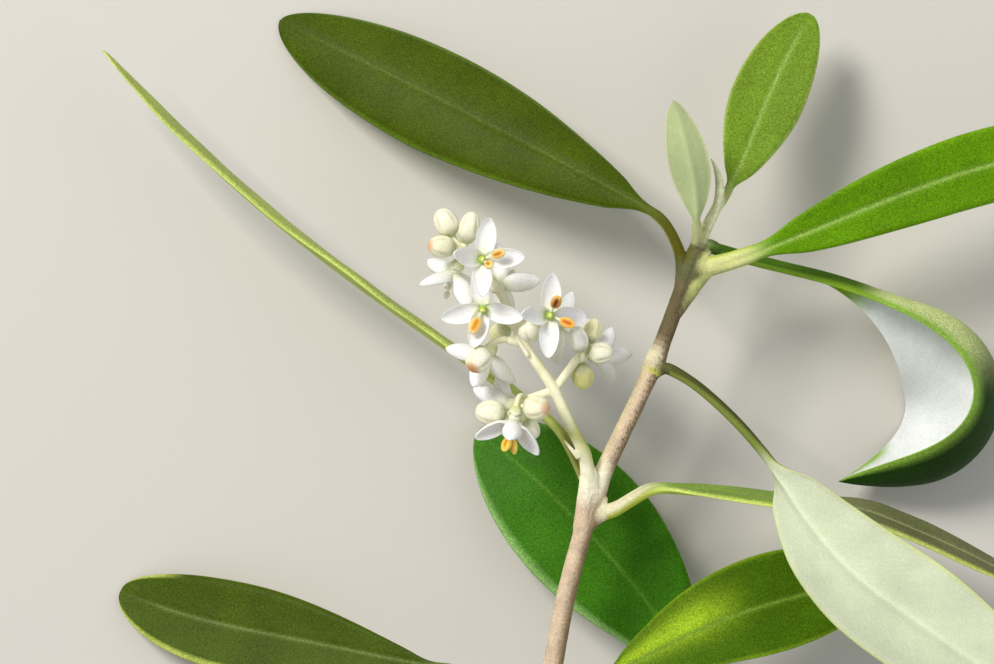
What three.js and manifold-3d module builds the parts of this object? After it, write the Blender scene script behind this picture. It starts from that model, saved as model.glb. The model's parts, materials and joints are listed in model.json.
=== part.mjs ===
// A flowering olive sprig, cut below its lowest leaves and laid on a table.
// Millimetres. The sprig is built in its own frame: the centre of the cut end is the origin, X runs right,
// Y along the stem and Z up from the table. At the end it is set on the table, centred over the origin.
// A direction is a heading, turned anticlockwise from +X, and a climb above the level, both in degrees.
import * as THREE from "three";
import { mergeVertices } from "three/addons/utils/BufferGeometryUtils.js";
import Module from "manifold-3d";

const wasm = await Module();
wasm.setup();

// Sizes that the whole sprig shares
const CLEARANCE = 0.3; // between a leaf's foot or a flower's base and what carries it
const STEM_RADIUS_CUT = 1.0;
const STEM_RADIUS_TIP = 0.72;
const NODE_SWELLING = 0.22; // how far the stem bulges at a leaf node
const NODE_SPREAD = 1.3; // half the length of that bulge
const CUSHION_LENGTH = 0.55; // the boss that carries a petiole, past the stem's own surface
const LEAF_THICKNESS = 0.7;
const PETIOLE_RADIUS = 0.52;
const RIB_HEIGHT = 0.28; // the midrib below the blade's underside

// Flower sizes
const CALYX_HEIGHT = 0.85;
const CALYX_RADIUS = 0.7;
const CALYX_FOOT_RADIUS = 0.34;
const TUBE_RADIUS = 0.55;
const THROAT_HEIGHT = 1.35; // from the calyx's foot to where the petals part
const PETAL_LENGTH = 3.75;
const PETAL_WIDTH = 1.95;
const PETAL_THICKNESS = 0.26;
const OVARY_RADIUS = 0.4;
const OVARY_HEIGHT = 0.9;
const FILAMENT_RADIUS = 0.14;
const ANTHER_LENGTH = 1.65;
const ANTHER_WIDTH = 1.1;
const ANTHER_REACH = 1.75; // from the throat to the middle of an anther
const PEDICEL_RADIUS = 0.3;
const RACHIS_RADIUS_FOOT = 0.82;
const RACHIS_RADIUS_TIP = 0.42;

// How finely each kind of piece is faceted
const LEAF_STATIONS = 18;
const LEAF_RING = 10;
const STEM_SPACING = 1.6;
const STEM_SIDES = 10;
const STALK_SIDES = 7;
const PETAL_STATIONS = 5;

const COLOURS = {
  bark: { color: 0xa08c70, roughness: 0.85 },
  leaf: { color: 0x5f8f2a, roughness: 0.55 },
  stalk: { color: 0xdcdcae, roughness: 0.6 },
  petal: { color: 0xf6f5ee, roughness: 0.5 },
  bud: { color: 0xf3efd6, roughness: 0.5 },
  stamen: { color: 0xe9a21c, roughness: 0.6 },
};

// The stem's course, from the cut end to the shoot's tip, and the places on it that carry something.
const STEM = {
  cut: [0, 0, 0],
  lowest: [0.3, 2.0, 0.1],
  low: [0.8, 4.3, 0.2],
  bare: [2.5, 13.4, 0.5],
  right_leaf: [4.6, 21.2, 0.8],
  flowering: [5.3, 23.4, 0.8],
  middle: [10.9, 35.5, 0.6],
  upper: [14.3, 44.7, 0.2],
  shoot: [15.2, 47.0, 0.1],
  tip: [17.0, 50.6, 0.6],
};
const SWOLLEN_NODES = ["low", "flowering", "middle", "upper"];

// Leaves. A leaf's course lists, at distances from the petiole's foot: distance, heading, climb and roll.
// Roll 0 shows the upper face from above, 180 the underside. Widest is where along the blade, as a share
// of its length, and cup is how far the margins lift above the midrib, as a share of the width.
const LEAVES = [
  {
    name: "leaf_upper_left", node: "upper",
    petiole: 5.0, blade: 43.4, width: 10.3, widest: 0.57, cup: -0.1, stalk: 0.5,
    course: [[0, 108, 8, 0], [2.6, 121, -2, 6], [5.2, 150, -12, 10], [20, 152, -17, 10], [48.4, 153, -24.5, 8]],
  },
  {
    name: "leaf_upper_right", node: "upper",
    petiole: 5.0, blade: 47.5, width: 7.1, widest: 0.5, cup: 0.08, stalk: 0.86,
    course: [[0, 12, 6, 14], [4, 20, 4, 8], [14, 23, 2, 6], [24, 19, 1, 4], [30, 13, 0, 4], [53, 8, -3, 2]],
  },
  {
    name: "leaf_curled", node: "shoot",
    petiole: 17.4, blade: 37.0, width: 13.0, widest: 0.5, cup: -0.37, stalk: 0.6, stations: 30,
    course: [
      [0, -24, -32, -20], [7, -8, -17, -40], [14, -17, -10, -60], [19, -17, -8, -100], [24, -24, -7, -120],
      [28, -46, -6, -124], [33, -80, -6, -124], [38, -112, -6, -116], [42, -141, -6, -106], [46, -168, -6, -98],
      [54.4, -192, -6, -90],
    ],
  },
  {
    name: "leaf_tip_pale", node: "shoot",
    petiole: 1.4, blade: 12.0, width: 3.9, widest: 0.5, cup: 0.1, stalk: 0.45,
    course: [[0, 96, 44, 180], [3, 94, 24, 182], [7, 104, 12, 184], [14, 106, 4, 186]],
  },
  {
    name: "leaf_tip_green", node: "tip",
    petiole: 0.9, blade: 20.0, width: 7.2, widest: 0.52, cup: 0.08, stalk: 0.45,
    course: [[0, 58, -20, -8], [5, 68, -18, -8], [12, 66, -16, -8], [21, 57, -16, -8]],
  },
  {
    name: "leaf_middle_pale", node: "middle",
    petiole: 13.4, blade: 38.0, width: 10.9, widest: 0.5, cup: 0.1, stalk: 0.5,
    course: [
      [0, -26, 30, -40], [4, -40, 18, -58], [11, -50, 14, -80], [17, -60, 12, -150], [22, -52, 12, -165],
      [30, -36, 10, -168], [51, -34, 6, -170],
    ],
  },
  {
    name: "leaf_flowering_left", node: "flowering",
    petiole: 6.5, blade: 56.6, width: 8.4, widest: 0.5, cup: 0.05, stalk: 0.5,
    course: [
      [0, 114, -22, 30], [4, 118, -22, 50], [7.5, 143, -12, 78], [20, 145.5, -3, 86], [34, 143, 0, 86],
      [48, 137, 0, 80], [62, 131, -2, 70],
    ],
  },
  {
    name: "leaf_flowering_right", node: "right_leaf",
    petiole: 5.2, blade: 41.5, width: 7.2, widest: 0.5, cup: 0.04, stalk: 0.66,
    course: [
      [0, 14, 4, -40], [1.8, 33, 4, -50], [4, 31, 4, -60], [6.2, -4, 2, -78], [16, -8, 0, -82], [23, -6, -2, -80],
      [27, -22, -2, -74], [36, -25, -2, -72], [47, -32, -2, -68],
    ],
  },
  {
    name: "leaf_low_left", node: "low",
    petiole: 9.0, blade: 34.4, width: 8.8, widest: 0.62, cup: 0.06, stalk: 0.5,
    course: [
      [0, 166, -8, 0], [6, 172, -13, 6], [18, 170, -18, 8], [29, 171, -20, 8], [37, 165, -22, 8], [43.4, 157, -24, 8],
    ],
  },
  {
    name: "leaf_low_right", node: "low",
    petiole: 3.6, blade: 30.5, width: 9.7, widest: 0.58, cup: 0.1, stalk: 0.5,
    course: [[0, 14, 2, -10], [5, 26, -4, -14], [12, 26, -10, -16], [18, 18, -12, -16], [35, 6, -14, -14]],
  },
  {
    name: "leaf_under", node: "lowest",
    petiole: 17.2, blade: 32.6, width: 13.4, widest: 0.56, cup: 0.04, stalk: 0.55,
    course: [
      [0, -24, -28, 0], [6, -8, -26, 0], [12, 20, -18, 0], [16, 82, -10, 0], [19, 119, -6, 0], [28, 129, -3, 0],
      [40, 136, -9, 0], [50, 144, -24, 0],
    ],
  },
];

// The flower stalk's course, from the axil of the left flowering leaf to the topmost buds.
const AXIL = [4.95, 23.2, 1.3];
const RACHIS = {
  foot: [4.5, 25.2, 2.1],
  bract: [4.1, 27.0, 2.8],
  below: [2.8, 29.6, 3.3],
  first: [1.3, 32.9, 3.8],
  second: [-1.6, 37.3, 4.3],
  third: [-2.7, 39.6, 4.3],
  fourth: [-4.0, 42.5, 4.1],
  end: [-7.2, 46.1, 4.0],
};
// Side branches of the flower stalk, and where each ends.
const BRANCHES = {
  low_left: { from: "first", to: [-1.3, 32.0, 3.5] },
  low_right: { from: "first", to: [3.5, 35.9, 3.0] },
  high_left: { from: "second", to: [-3.0, 37.6, 4.8] },
  high_right: { from: "second", to: [0.0, 38.6, 3.6] },
};

// Open flowers: the middle of the throat, the way the flower faces and the way its first petal leans, each as
// heading and climb. Spreads are the four petals' angles from the flower's axis, anticlockwise from the first
// as the flower is looked into. A stamen has its turn from the first petal and its angle from the axis.
const FLOWERS = [
  {
    name: "flower_top", on: "fourth", throat: [-5.5, 45.1, 8.1], faces: [0, 86], first: [80, 0],
    spreads: [84, 52, 66, 84], stamens: [[300, 60], [236, 24]],
  },
  {
    name: "flower_top_left", on: "end", throat: [-8.1, 44.1, 3.2], faces: [-115, -30], first: [175, 48],
    spreads: [80, 74, 66, 70], stamens: [[130, 26], [300, 26]],
  },
  {
    name: "flower_top_behind", on: "fourth", throat: [-3.9, 42.8, 1.6], faces: [30, -66], first: [95, 0],
    spreads: [80, 84, 80, 46], stamens: [[40, 36], [200, 36]],
  },
  {
    name: "flower_third", on: "third", throat: [-5.4, 40.6, 6.55], faces: [262, 78], first: [190, 0],
    spreads: [84, 66, 78, 104], stamens: [[52, 58]],
  },
  {
    name: "flower_right", on: "high_right", throat: [0.8, 39.9, 7.4], faces: [0, 86], first: [87, 0],
    spreads: [84, 52, 84, 128], stamens: [[343, 50], [250, 74]],
  },
  {
    name: "flower_right_behind", on: "high_right", throat: [1.6, 39.2, 0.8], faces: [10, -64], first: [80, 0],
    spreads: [52, 70, 85, 60], stamens: [[40, 30], [220, 30]],
  },
  {
    name: "flower_left", on: "high_left", throat: [-5.0, 36.3, 2.8], faces: [236, -34], first: [163, 0],
    spreads: [70, 44, 76, 76], stamens: [[50, 24], [240, 30]],
  },
  {
    name: "flower_low", on: "low_left", throat: [-2.5, 30.1, 6.0], faces: [-100, 4], first: [180, 0],
    spreads: [62, 72, 50, 68], stamens: [[300, 20], [160, 14]],
  },
  {
    name: "flower_low_behind", on: "low_left", throat: [-2.9, 31.6, 2.3], faces: [158, -52], first: [158, 0],
    spreads: [40, 40, 50, 40], stamens: [[60, 8]],
  },
  {
    name: "flower_far_right", on: "low_right", throat: [5.4, 36.2, 0.0], faces: [0, -58], first: [90, 0],
    spreads: [46, 36, 46, 56], stamens: [[270, 10]],
  },
];

// Closed buds: the middle, the way the bud points, its length and its greatest width.
const BUDS = [
  {
    name: "bud_end_left", on: "end",
    middle: [-8.9, 48.7, 4.2], points: [117, 8], length: 2.8, width: 2.25,
  },
  {
    name: "bud_end_right", on: "end",
    middle: [-6.7, 48.2, 4.6], points: [76, 14], length: 3.1, width: 1.95,
  },
  {
    name: "bud_end_low", on: "end",
    middle: [-9.3, 46.4, 5.2], points: [176, 24], length: 2.7, width: 2.1,
  },
  {
    name: "bud_second_right", on: "high_right",
    middle: [-1.0, 38.6, 6.3], points: [140, 55], length: 2.5, width: 2.3,
  },
  {
    name: "bud_left_front", on: "high_left",
    middle: [-5.8, 35.8, 7.0], points: [235, 30], length: 2.7, width: 2.4,
  },
  {
    name: "bud_left_back", on: "second",
    middle: [-3.8, 38.3, 1.6], points: [225, -34], length: 2.4, width: 1.9,
  },
  {
    name: "bud_low_right", on: "low_left",
    middle: [-0.4, 31.3, 6.7], points: [-5, 40], length: 2.7, width: 2.3,
  },
  {
    name: "bud_low_left", on: "low_left",
    middle: [-4.7, 30.8, 4.9], points: [175, 10], length: 2.9, width: 2.4,
  },
  {
    name: "bud_low_front", on: "low_left",
    middle: [-1.0, 29.3, 3.3], points: [-55, -14], length: 2.3, width: 1.8,
  },
  {
    name: "bud_far_top_left", on: "low_right",
    middle: [3.5, 37.7, 4.8], points: [107, 20], length: 2.6, width: 1.9,
  },
  {
    name: "bud_far_top_right", on: "low_right",
    middle: [4.9, 38.5, 3.0], points: [72, 0], length: 2.4, width: 1.7,
  },
  {
    name: "bud_far_right", on: "low_right",
    middle: [5.7, 36.4, 4.2], points: [2, 20], length: 2.4, width: 2.0,
  },
  {
    name: "bud_far_low", on: "low_right",
    middle: [4.0, 34.2, 2.2], points: [-80, -12], length: 2.6, width: 2.1,
  },
];

const radians = THREE.MathUtils.degToRad;
const vector = (place) => new THREE.Vector3(...place);

function direction(heading, climb) {
  const level = Math.cos(radians(climb));
  return new THREE.Vector3(
    level * Math.cos(radians(heading)),
    level * Math.sin(radians(heading)),
    Math.sin(radians(climb)),
  );
}

// The way across and the way out of a blade's face, for a midline that runs along, turned by roll about it.
function crossAxes(along, roll) {
  const level = new THREE.Vector3(-along.y, along.x, 0).normalize();
  const across = level.applyAxisAngle(along, radians(roll));
  return { across, out: new THREE.Vector3().crossVectors(along, across) };
}

// A closed skin through rings of points that run anticlockwise about the way they follow, with a flat end cap each.
function loft(rings) {
  const sides = rings[0].length;
  const points = rings.flat();
  const faces = [];
  for (let ring = 0; ring + 1 < rings.length; ring++) {
    for (let side = 0; side < sides; side++) {
      const here = ring * sides + side;
      const next = ring * sides + ((side + 1) % sides);
      faces.push(here, next, next + sides, here, next + sides, here + sides);
    }
  }
  const last = (rings.length - 1) * sides;
  for (let side = 1; side + 1 < sides; side++) {
    faces.push(0, side + 1, side);
    faces.push(last, last + side, last + side + 1);
  }
  return new THREE.BufferGeometry().setFromPoints(points).setIndex(faces);
}

// A round tube along a curve, whose radius is a function of the share of the way along.
function tube(curve, sections, sides, radiusAt) {
  const rings = [];
  const frames = curve.computeFrenetFrames(sections);
  for (let section = 0; section <= sections; section++) {
    const share = section / sections;
    const middle = curve.getPointAt(share);
    const ring = [];
    for (let side = 0; side < sides; side++) {
      const angle = (2 * Math.PI * side) / sides;
      const reach = new THREE.Vector3()
        .addScaledVector(frames.normals[section], Math.cos(angle))
        .addScaledVector(frames.binormals[section], Math.sin(angle));
      ring.push(reach.multiplyScalar(radiusAt(share)).add(middle));
    }
    rings.push(ring);
  }
  return loft(rings);
}

// The solid that a closed surface holds
function solid(geometry) {
  const bare = geometry.clone();
  bare.deleteAttribute("normal");
  bare.deleteAttribute("uv");
  const merged = mergeVertices(bare, 1e-5);
  return new wasm.Manifold(
    new wasm.Mesh({
      numProp: 3,
      vertProperties: new Float32Array(merged.attributes.position.array),
      triVerts: new Uint32Array(merged.index.array),
    }),
  );
}

function fused(geometries) {
  const joined = geometries.map(solid).reduce((whole, piece) => whole.add(piece));
  const mesh = joined.getMesh();
  return new THREE.BufferGeometry()
    .setAttribute("position", new THREE.BufferAttribute(mesh.vertProperties, 3))
    .setIndex(new THREE.BufferAttribute(mesh.triVerts, 1));
}

function piece(name, geometry, look) {
  geometry.computeVertexNormals();
  const made = new THREE.Mesh(geometry, new THREE.MeshStandardMaterial(COLOURS[look]));
  made.name = name;
  return made;
}

// Stem
const stemCurve = new THREE.CatmullRomCurve3(Object.values(STEM).map(vector), false, "centripetal");
const stemLength = stemCurve.getLength();

// The share of a curve's length at which it passes nearest to a place.
function shareAt(curve, place) {
  const steps = 400;
  let best = 0;
  for (let step = 0; step <= steps; step++) {
    if (curve.getPointAt(step / steps).distanceTo(place) < curve.getPointAt(best).distanceTo(place)) {
      best = step / steps;
    }
  }
  return best;
}

const nodeShares = SWOLLEN_NODES.map((node) => shareAt(stemCurve, vector(STEM[node])));

function stemRadius(share) {
  const bulge = nodeShares
    .map((node) => ((share - node) * stemLength) / NODE_SPREAD)
    .reduce((sum, away) => sum + Math.exp(-away * away), 0);
  return THREE.MathUtils.lerp(STEM_RADIUS_CUT, STEM_RADIUS_TIP, share) + NODE_SWELLING * Math.min(1, bulge);
}

// Where a petiole starts: on the stem's surface at its node, on the side that it leaves by.
function leafFoot(leaf) {
  const share = shareAt(stemCurve, vector(STEM[leaf.node]));
  const along = stemCurve.getTangentAt(share);
  const [, heading, climb] = leaf.course[0];
  const leaving = direction(heading, climb);
  const sideways = leaving.clone().addScaledVector(along, -leaving.dot(along)).normalize();
  const surface = stemCurve.getPointAt(share).addScaledVector(sideways, stemRadius(share) * 0.8);
  return { surface, leaving, start: surface.clone().addScaledVector(leaving, CUSHION_LENGTH + CLEARANCE) };
}

function cushion(leaf) {
  const { surface, leaving } = leafFoot(leaf);
  const inside = surface.clone().addScaledVector(leaving, -PETIOLE_RADIUS);
  const outside = surface.clone().addScaledVector(leaving, CUSHION_LENGTH);
  return tube(new THREE.LineCurve3(inside, outside), 1, STALK_SIDES, () => leaf.stalk * 1.1);
}

function stem() {
  const sections = Math.round(stemLength / STEM_SPACING);
  const rod = tube(stemCurve, sections, STEM_SIDES, stemRadius);
  const stalkFoot = new THREE.LineCurve3(vector(AXIL), vector(RACHIS.foot));
  const boss = tube(stalkFoot, 1, STALK_SIDES, () => RACHIS_RADIUS_FOOT);
  return piece("stem", fused([rod, boss, ...LEAVES.map(cushion)]), "bark");
}

// Leaves
// Heading, climb and roll at a distance along a leaf's course.
function turnsAt(course, distance) {
  let next = 1;
  while (next < course.length - 1 && course[next][0] < distance) next++;
  const [before, after] = [course[next - 1], course[next]];
  const share = THREE.MathUtils.clamp((distance - before[0]) / (after[0] - before[0]), 0, 1);
  return [1, 2, 3].map((column) => THREE.MathUtils.lerp(before[column], after[column], share));
}

// The midline from the petiole's foot: places, with the axes of the section at each.
function midline(leaf) {
  const length = leaf.petiole + leaf.blade;
  const fineSteps = 204;
  const place = new THREE.Vector3();
  const frames = [];
  for (let step = 0; step <= fineSteps; step++) {
    const distance = (length * step) / fineSteps;
    const [heading, climb, roll] = turnsAt(leaf.course, distance);
    const along = direction(heading, climb);
    frames.push({ distance, place: place.clone(), ...crossAxes(along, roll) });
    place.addScaledVector(along, length / fineSteps);
  }
  return frames;
}

// Half the blade's width as a share of its greatest, from its foot at 0 to its tip at 1.
function outline(leaf, share) {
  const inside = THREE.MathUtils.clamp(share, 0, 1);
  const skewed = inside ** (Math.log(0.5) / Math.log(leaf.widest));
  return Math.sin(Math.PI * skewed) ** (inside < leaf.widest ? 0.62 : 0.68);
}

// A section of the leaf: round in the petiole, a thin cupped blade with a rib beneath it further on.
function leafSection(leaf, share, { place, across, out }) {
  const blade = THREE.MathUtils.smoothstep(share, -0.02, 0.14);
  const halfWidth = Math.max((leaf.width / 2) * outline(leaf, share), 0.14);
  const fade = THREE.MathUtils.clamp(4 * (1 - share), 0.4, 1);
  const ring = [];
  for (let point = 0; point < LEAF_RING; point++) {
    const angle = (2 * Math.PI * (point + 0.5)) / LEAF_RING;
    const sideways = Math.cos(angle) / Math.cos(Math.PI / LEAF_RING);
    const thickness = (LEAF_THICKNESS / 2) * fade * (1 - 0.5 * sideways * sideways);
    const camber = leaf.cup * leaf.width * outline(leaf, share) * sideways * sideways;
    const rib = Math.abs(sideways) < 0.1 ? RIB_HEIGHT * (1 - Math.max(0, share)) : 0;
    const lift = Math.sin(angle) > 0 ? camber + thickness : camber - thickness - rib;
    const alongAcross = THREE.MathUtils.lerp(leaf.stalk * Math.cos(angle), sideways * halfWidth, blade);
    const alongOut = THREE.MathUtils.lerp(leaf.stalk * Math.sin(angle), lift, blade);
    ring.push(place.clone().addScaledVector(across, alongAcross).addScaledVector(out, alongOut));
  }
  return ring;
}

function leafPiece(leaf) {
  const frames = midline(leaf);
  const rings = [];
  const stations = leaf.stations ?? LEAF_STATIONS;
  for (let station = 0; station < stations; station++) {
    const frame = frames[Math.round(((frames.length - 1) * station) / (stations - 1))];
    rings.push(leafSection(leaf, (frame.distance - leaf.petiole) / leaf.blade, frame));
  }
  const made = piece(leaf.name, loft(rings), "leaf");
  made.position.copy(leafFoot(leaf).start);
  return made;
}

// Flowers, each built standing on its calyx's foot and facing +Z
function lathe(profile, segments) {
  return new THREE.LatheGeometry(
    profile.map(([radius, height]) => new THREE.Vector2(radius, height)),
    segments,
  ).rotateX(Math.PI / 2);
}

function petal(turn, spread) {
  const lean = radians(spread);
  const rings = [];
  for (let station = 0; station < PETAL_STATIONS; station++) {
    const share = station / (PETAL_STATIONS - 1);
    const halfWidth = (PETAL_WIDTH / 2) * Math.sin(Math.PI * (0.08 + 0.88 * share)) ** 0.62;
    const reach = PETAL_LENGTH * share;
    const curl = 0.35 * share * share;
    const ring = [];
    for (const [sideways, face] of [[1, 1], [0, 1], [-1, 1], [-1, -1], [0, -1], [1, -1]]) {
      const lift = face * (PETAL_THICKNESS / 2) + 0.3 * halfWidth * sideways * sideways + curl;
      ring.push(
        new THREE.Vector3(
          0.25 + reach * Math.sin(lean) - lift * Math.cos(lean),
          sideways * halfWidth,
          THROAT_HEIGHT + reach * Math.cos(lean) + lift * Math.sin(lean),
        ),
      );
    }
    rings.push(ring);
  }
  return loft(rings).rotateZ(radians(turn));
}

function corolla(flower) {
  const base = lathe(
    [
      [0, 0],
      [CALYX_FOOT_RADIUS, 0],
      [CALYX_RADIUS, CALYX_HEIGHT * 0.7],
      [TUBE_RADIUS, THROAT_HEIGHT],
      [0, THROAT_HEIGHT],
    ],
    8,
  );
  const petals = flower.spreads.map((spread, order) => petal(90 * order, spread));
  return fused([base, ...petals]);
}

function heart(flower) {
  const foot = THROAT_HEIGHT + PETAL_THICKNESS + 0.12;
  const ovary = lathe(
    [
      [0, foot],
      [OVARY_RADIUS, foot + OVARY_HEIGHT * 0.3],
      [OVARY_RADIUS * 0.4, foot + OVARY_HEIGHT * 0.7],
      [OVARY_RADIUS * 0.55, foot + OVARY_HEIGHT * 0.9],
      [0, foot + OVARY_HEIGHT],
    ],
    6,
  );
  const root = new THREE.Vector3(0, 0, foot + 0.3);
  const stamens = flower.stamens.flatMap(([turn, spread]) => {
    const lean = radians(spread);
    const middle = new THREE.Vector3(Math.sin(lean), 0, Math.cos(lean)).multiplyScalar(ANTHER_REACH).add(root);
    const anther = new THREE.SphereGeometry(0.5, 8, 5)
      .scale(ANTHER_WIDTH * 0.7, ANTHER_WIDTH, ANTHER_LENGTH)
      .rotateY(lean)
      .translate(middle.x, 0, middle.z);
    const filament = tube(new THREE.LineCurve3(root, middle), 1, 4, () => FILAMENT_RADIUS);
    return [anther, filament].map((part) => part.rotateZ(radians(turn)));
  });
  return fused([ovary, ...stamens]);
}

// Turns a piece that was built facing +Z to face a way, with its +X side leaning to another.
function aim(mesh, faces, leans) {
  const facing = direction(...faces);
  const side = direction(...leans);
  side.addScaledVector(facing, -side.dot(facing)).normalize();
  const axes = new THREE.Matrix4().makeBasis(side, new THREE.Vector3().crossVectors(facing, side), facing);
  mesh.quaternion.setFromRotationMatrix(axes);
}

function flowerFoot(flower) {
  return vector(flower.throat).addScaledVector(direction(...flower.faces), -THROAT_HEIGHT);
}

function flowerPieces(flower) {
  const whole = new THREE.Group();
  whole.add(piece(`${flower.name}_corolla`, corolla(flower), "petal"));
  whole.add(piece(`${flower.name}_stamens`, heart(flower), "stamen"));
  whole.position.copy(flowerFoot(flower));
  aim(whole, flower.faces, flower.first);
  return whole;
}

// Buds: a cup of sepals under a ball that comes to a blunt point
function budFoot(bud) {
  return vector(bud.middle).addScaledVector(direction(...bud.points), -bud.length / 2);
}

function budPiece(bud) {
  const radius = bud.width / 2;
  const profile = [
    [0, 0],
    [CALYX_FOOT_RADIUS, 0],
    [radius * 0.8, bud.length * 0.22],
    [radius, bud.length * 0.52],
    [radius * 0.87, bud.length * 0.78],
    [radius * 0.45, bud.length * 0.95],
    [0, bud.length],
  ];
  const made = piece(bud.name, lathe(profile, 9), "bud");
  made.position.copy(budFoot(bud));
  aim(made, bud.points, [bud.points[0] + 90, 0]);
  return made;
}

// The flower stalk with its branches and the pedicels of all flowers and buds, in one piece
function joint(name) {
  return vector(RACHIS[name] ?? BRANCHES[name].to);
}

function pedicel(on, foot, [heading, climb]) {
  const way = direction(heading, climb);
  const end = foot.clone().addScaledVector(way, -CLEARANCE);
  const start = joint(on);
  const bend = end.clone().addScaledVector(way, -0.45 * start.distanceTo(end));
  return tube(new THREE.QuadraticBezierCurve3(start, bend, end), 4, 6, () => PEDICEL_RADIUS);
}

function flowerStalk() {
  const places = Object.values(RACHIS).map(vector);
  places[0].lerp(places[1], CLEARANCE / places[0].distanceTo(places[1]));
  const course = new THREE.CatmullRomCurve3(places, false, "centripetal");
  const main = tube(course, 14, STALK_SIDES, (share) =>
    THREE.MathUtils.lerp(RACHIS_RADIUS_FOOT, RACHIS_RADIUS_TIP, share ** 0.7),
  );
  const branches = Object.values(BRANCHES).map(({ from, to }) =>
    tube(new THREE.LineCurve3(joint(from), vector(to)), 1, 6, () => RACHIS_RADIUS_TIP),
  );
  const pedicels = [
    ...FLOWERS.map((flower) => pedicel(flower.on, flowerFoot(flower), flower.faces)),
    ...BUDS.map((bud) => pedicel(bud.on, budFoot(bud), bud.points)),
  ];
  return piece("flower_stalk", fused([main, ...branches, ...pedicels]), "stalk");
}

const sprig = new THREE.Group();
sprig.add(stem(), ...LEAVES.map(leafPiece), flowerStalk());
sprig.add(...FLOWERS.map(flowerPieces), ...BUDS.map(budPiece));

// Set on the table, centred over the origin.
const reach = new THREE.Box3().setFromObject(sprig, true);
sprig.position.set(-(reach.min.x + reach.max.x) / 2, -(reach.min.y + reach.max.y) / 2, -reach.min.z);

export default sprig;
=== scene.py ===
import json
import math
from collections import namedtuple

import bpy
import numpy as np
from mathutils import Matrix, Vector, noise


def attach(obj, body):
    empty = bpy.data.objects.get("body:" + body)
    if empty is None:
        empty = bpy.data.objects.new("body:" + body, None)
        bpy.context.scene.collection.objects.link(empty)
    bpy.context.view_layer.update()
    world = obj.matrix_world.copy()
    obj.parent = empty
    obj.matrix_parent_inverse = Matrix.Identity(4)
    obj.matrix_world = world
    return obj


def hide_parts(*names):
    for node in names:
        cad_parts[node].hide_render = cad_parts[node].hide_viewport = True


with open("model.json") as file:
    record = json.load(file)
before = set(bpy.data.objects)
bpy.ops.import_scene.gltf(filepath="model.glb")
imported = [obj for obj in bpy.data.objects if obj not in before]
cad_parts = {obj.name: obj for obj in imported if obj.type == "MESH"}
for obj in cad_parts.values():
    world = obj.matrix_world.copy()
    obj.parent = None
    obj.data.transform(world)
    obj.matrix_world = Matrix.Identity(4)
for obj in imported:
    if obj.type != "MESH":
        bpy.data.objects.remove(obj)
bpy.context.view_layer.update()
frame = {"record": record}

MM = 0.001
CUT_END = np.array(frame["record"]["mounts"][0]["pos_m"])

# Sizes shared with the solids
CLEARANCE = 0.3
STEM_RADIUS_CUT = 1.0
STEM_RADIUS_TIP = 0.72
NODE_SWELLING = 0.22
NODE_SPREAD = 1.3
CUSHION_LENGTH = 0.55
RIB_HEIGHT = 0.28
CALYX_HEIGHT = 0.85
CALYX_RADIUS = 0.7
CALYX_FOOT_RADIUS = 0.34
TUBE_RADIUS = 0.55
THROAT_HEIGHT = 1.35
PETAL_LENGTH = 3.75
OVARY_RADIUS = 0.4
OVARY_HEIGHT = 0.9
FILAMENT_RADIUS = 0.14
ANTHER_LENGTH = 1.65
ANTHER_WIDTH = 1.1
ANTHER_REACH = 1.75
PEDICEL_RADIUS = 0.3
RACHIS_RADIUS_FOOT = 0.82
RACHIS_RADIUS_TIP = 0.42

# Finer sizes, and the numbers of rings, steps, points and rounds. A bud here is its length and width.
BLADE_HALF_THICKNESS = 0.24
BLADE_RINGS = 116
COURSE_STEPS = 204
SPAN_STEPS = 40
BEND_POINTS = 13
LEAST_HALF_WIDTH = 0.12
LEAST_RIB = 0.1
RIB_WIDTH = 0.45
GROOVE_DEPTH = 0.17
GROOVE_WIDTH = 0.3
MARGIN_DROP = 0.3
WAVE_HEIGHT = 0.34
WAVE_LENGTH = 4.0
CHANNEL_DEPTH = 0.22
SIDE_VEIN_SPACING = 2.4
BLADE_SECTION_STEPS = 14
PETAL_WIDTH = 2.1
PETAL_HALF_THICKNESS = 0.1
PETAL_SECTION_STEPS = 7
PETAL_CURL = 0.35
TERMINAL_BUD = (2.0, 1.1)
AXILLARY_BUD = (1.7, 0.8)
RIDGE_LENGTH = 2.6
BARK_ROUGHNESS = 0.03
STEM_VOXEL = 0.11
STEM_ROUNDS = 4
STALK_VOXEL = 0.09
STALK_ROUNDS = 3
BRACT_RADII = (0.28, 0.1)

# Places along the stem, and those where it is swollen
STEM = {
    "cut": (0, 0, 0),
    "lowest": (0.3, 2.0, 0.1),
    "low": (0.8, 4.3, 0.2),
    "bare": (2.5, 13.4, 0.5),
    "right_leaf": (4.6, 21.2, 0.8),
    "flowering": (5.3, 23.4, 0.8),
    "middle": (10.9, 35.5, 0.6),
    "upper": (14.3, 44.7, 0.2),
    "shoot": (15.2, 47.0, 0.1),
    "tip": (17.0, 50.6, 0.6),
}
SWOLLEN_NODES = ("low", "flowering", "middle", "upper")

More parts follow.
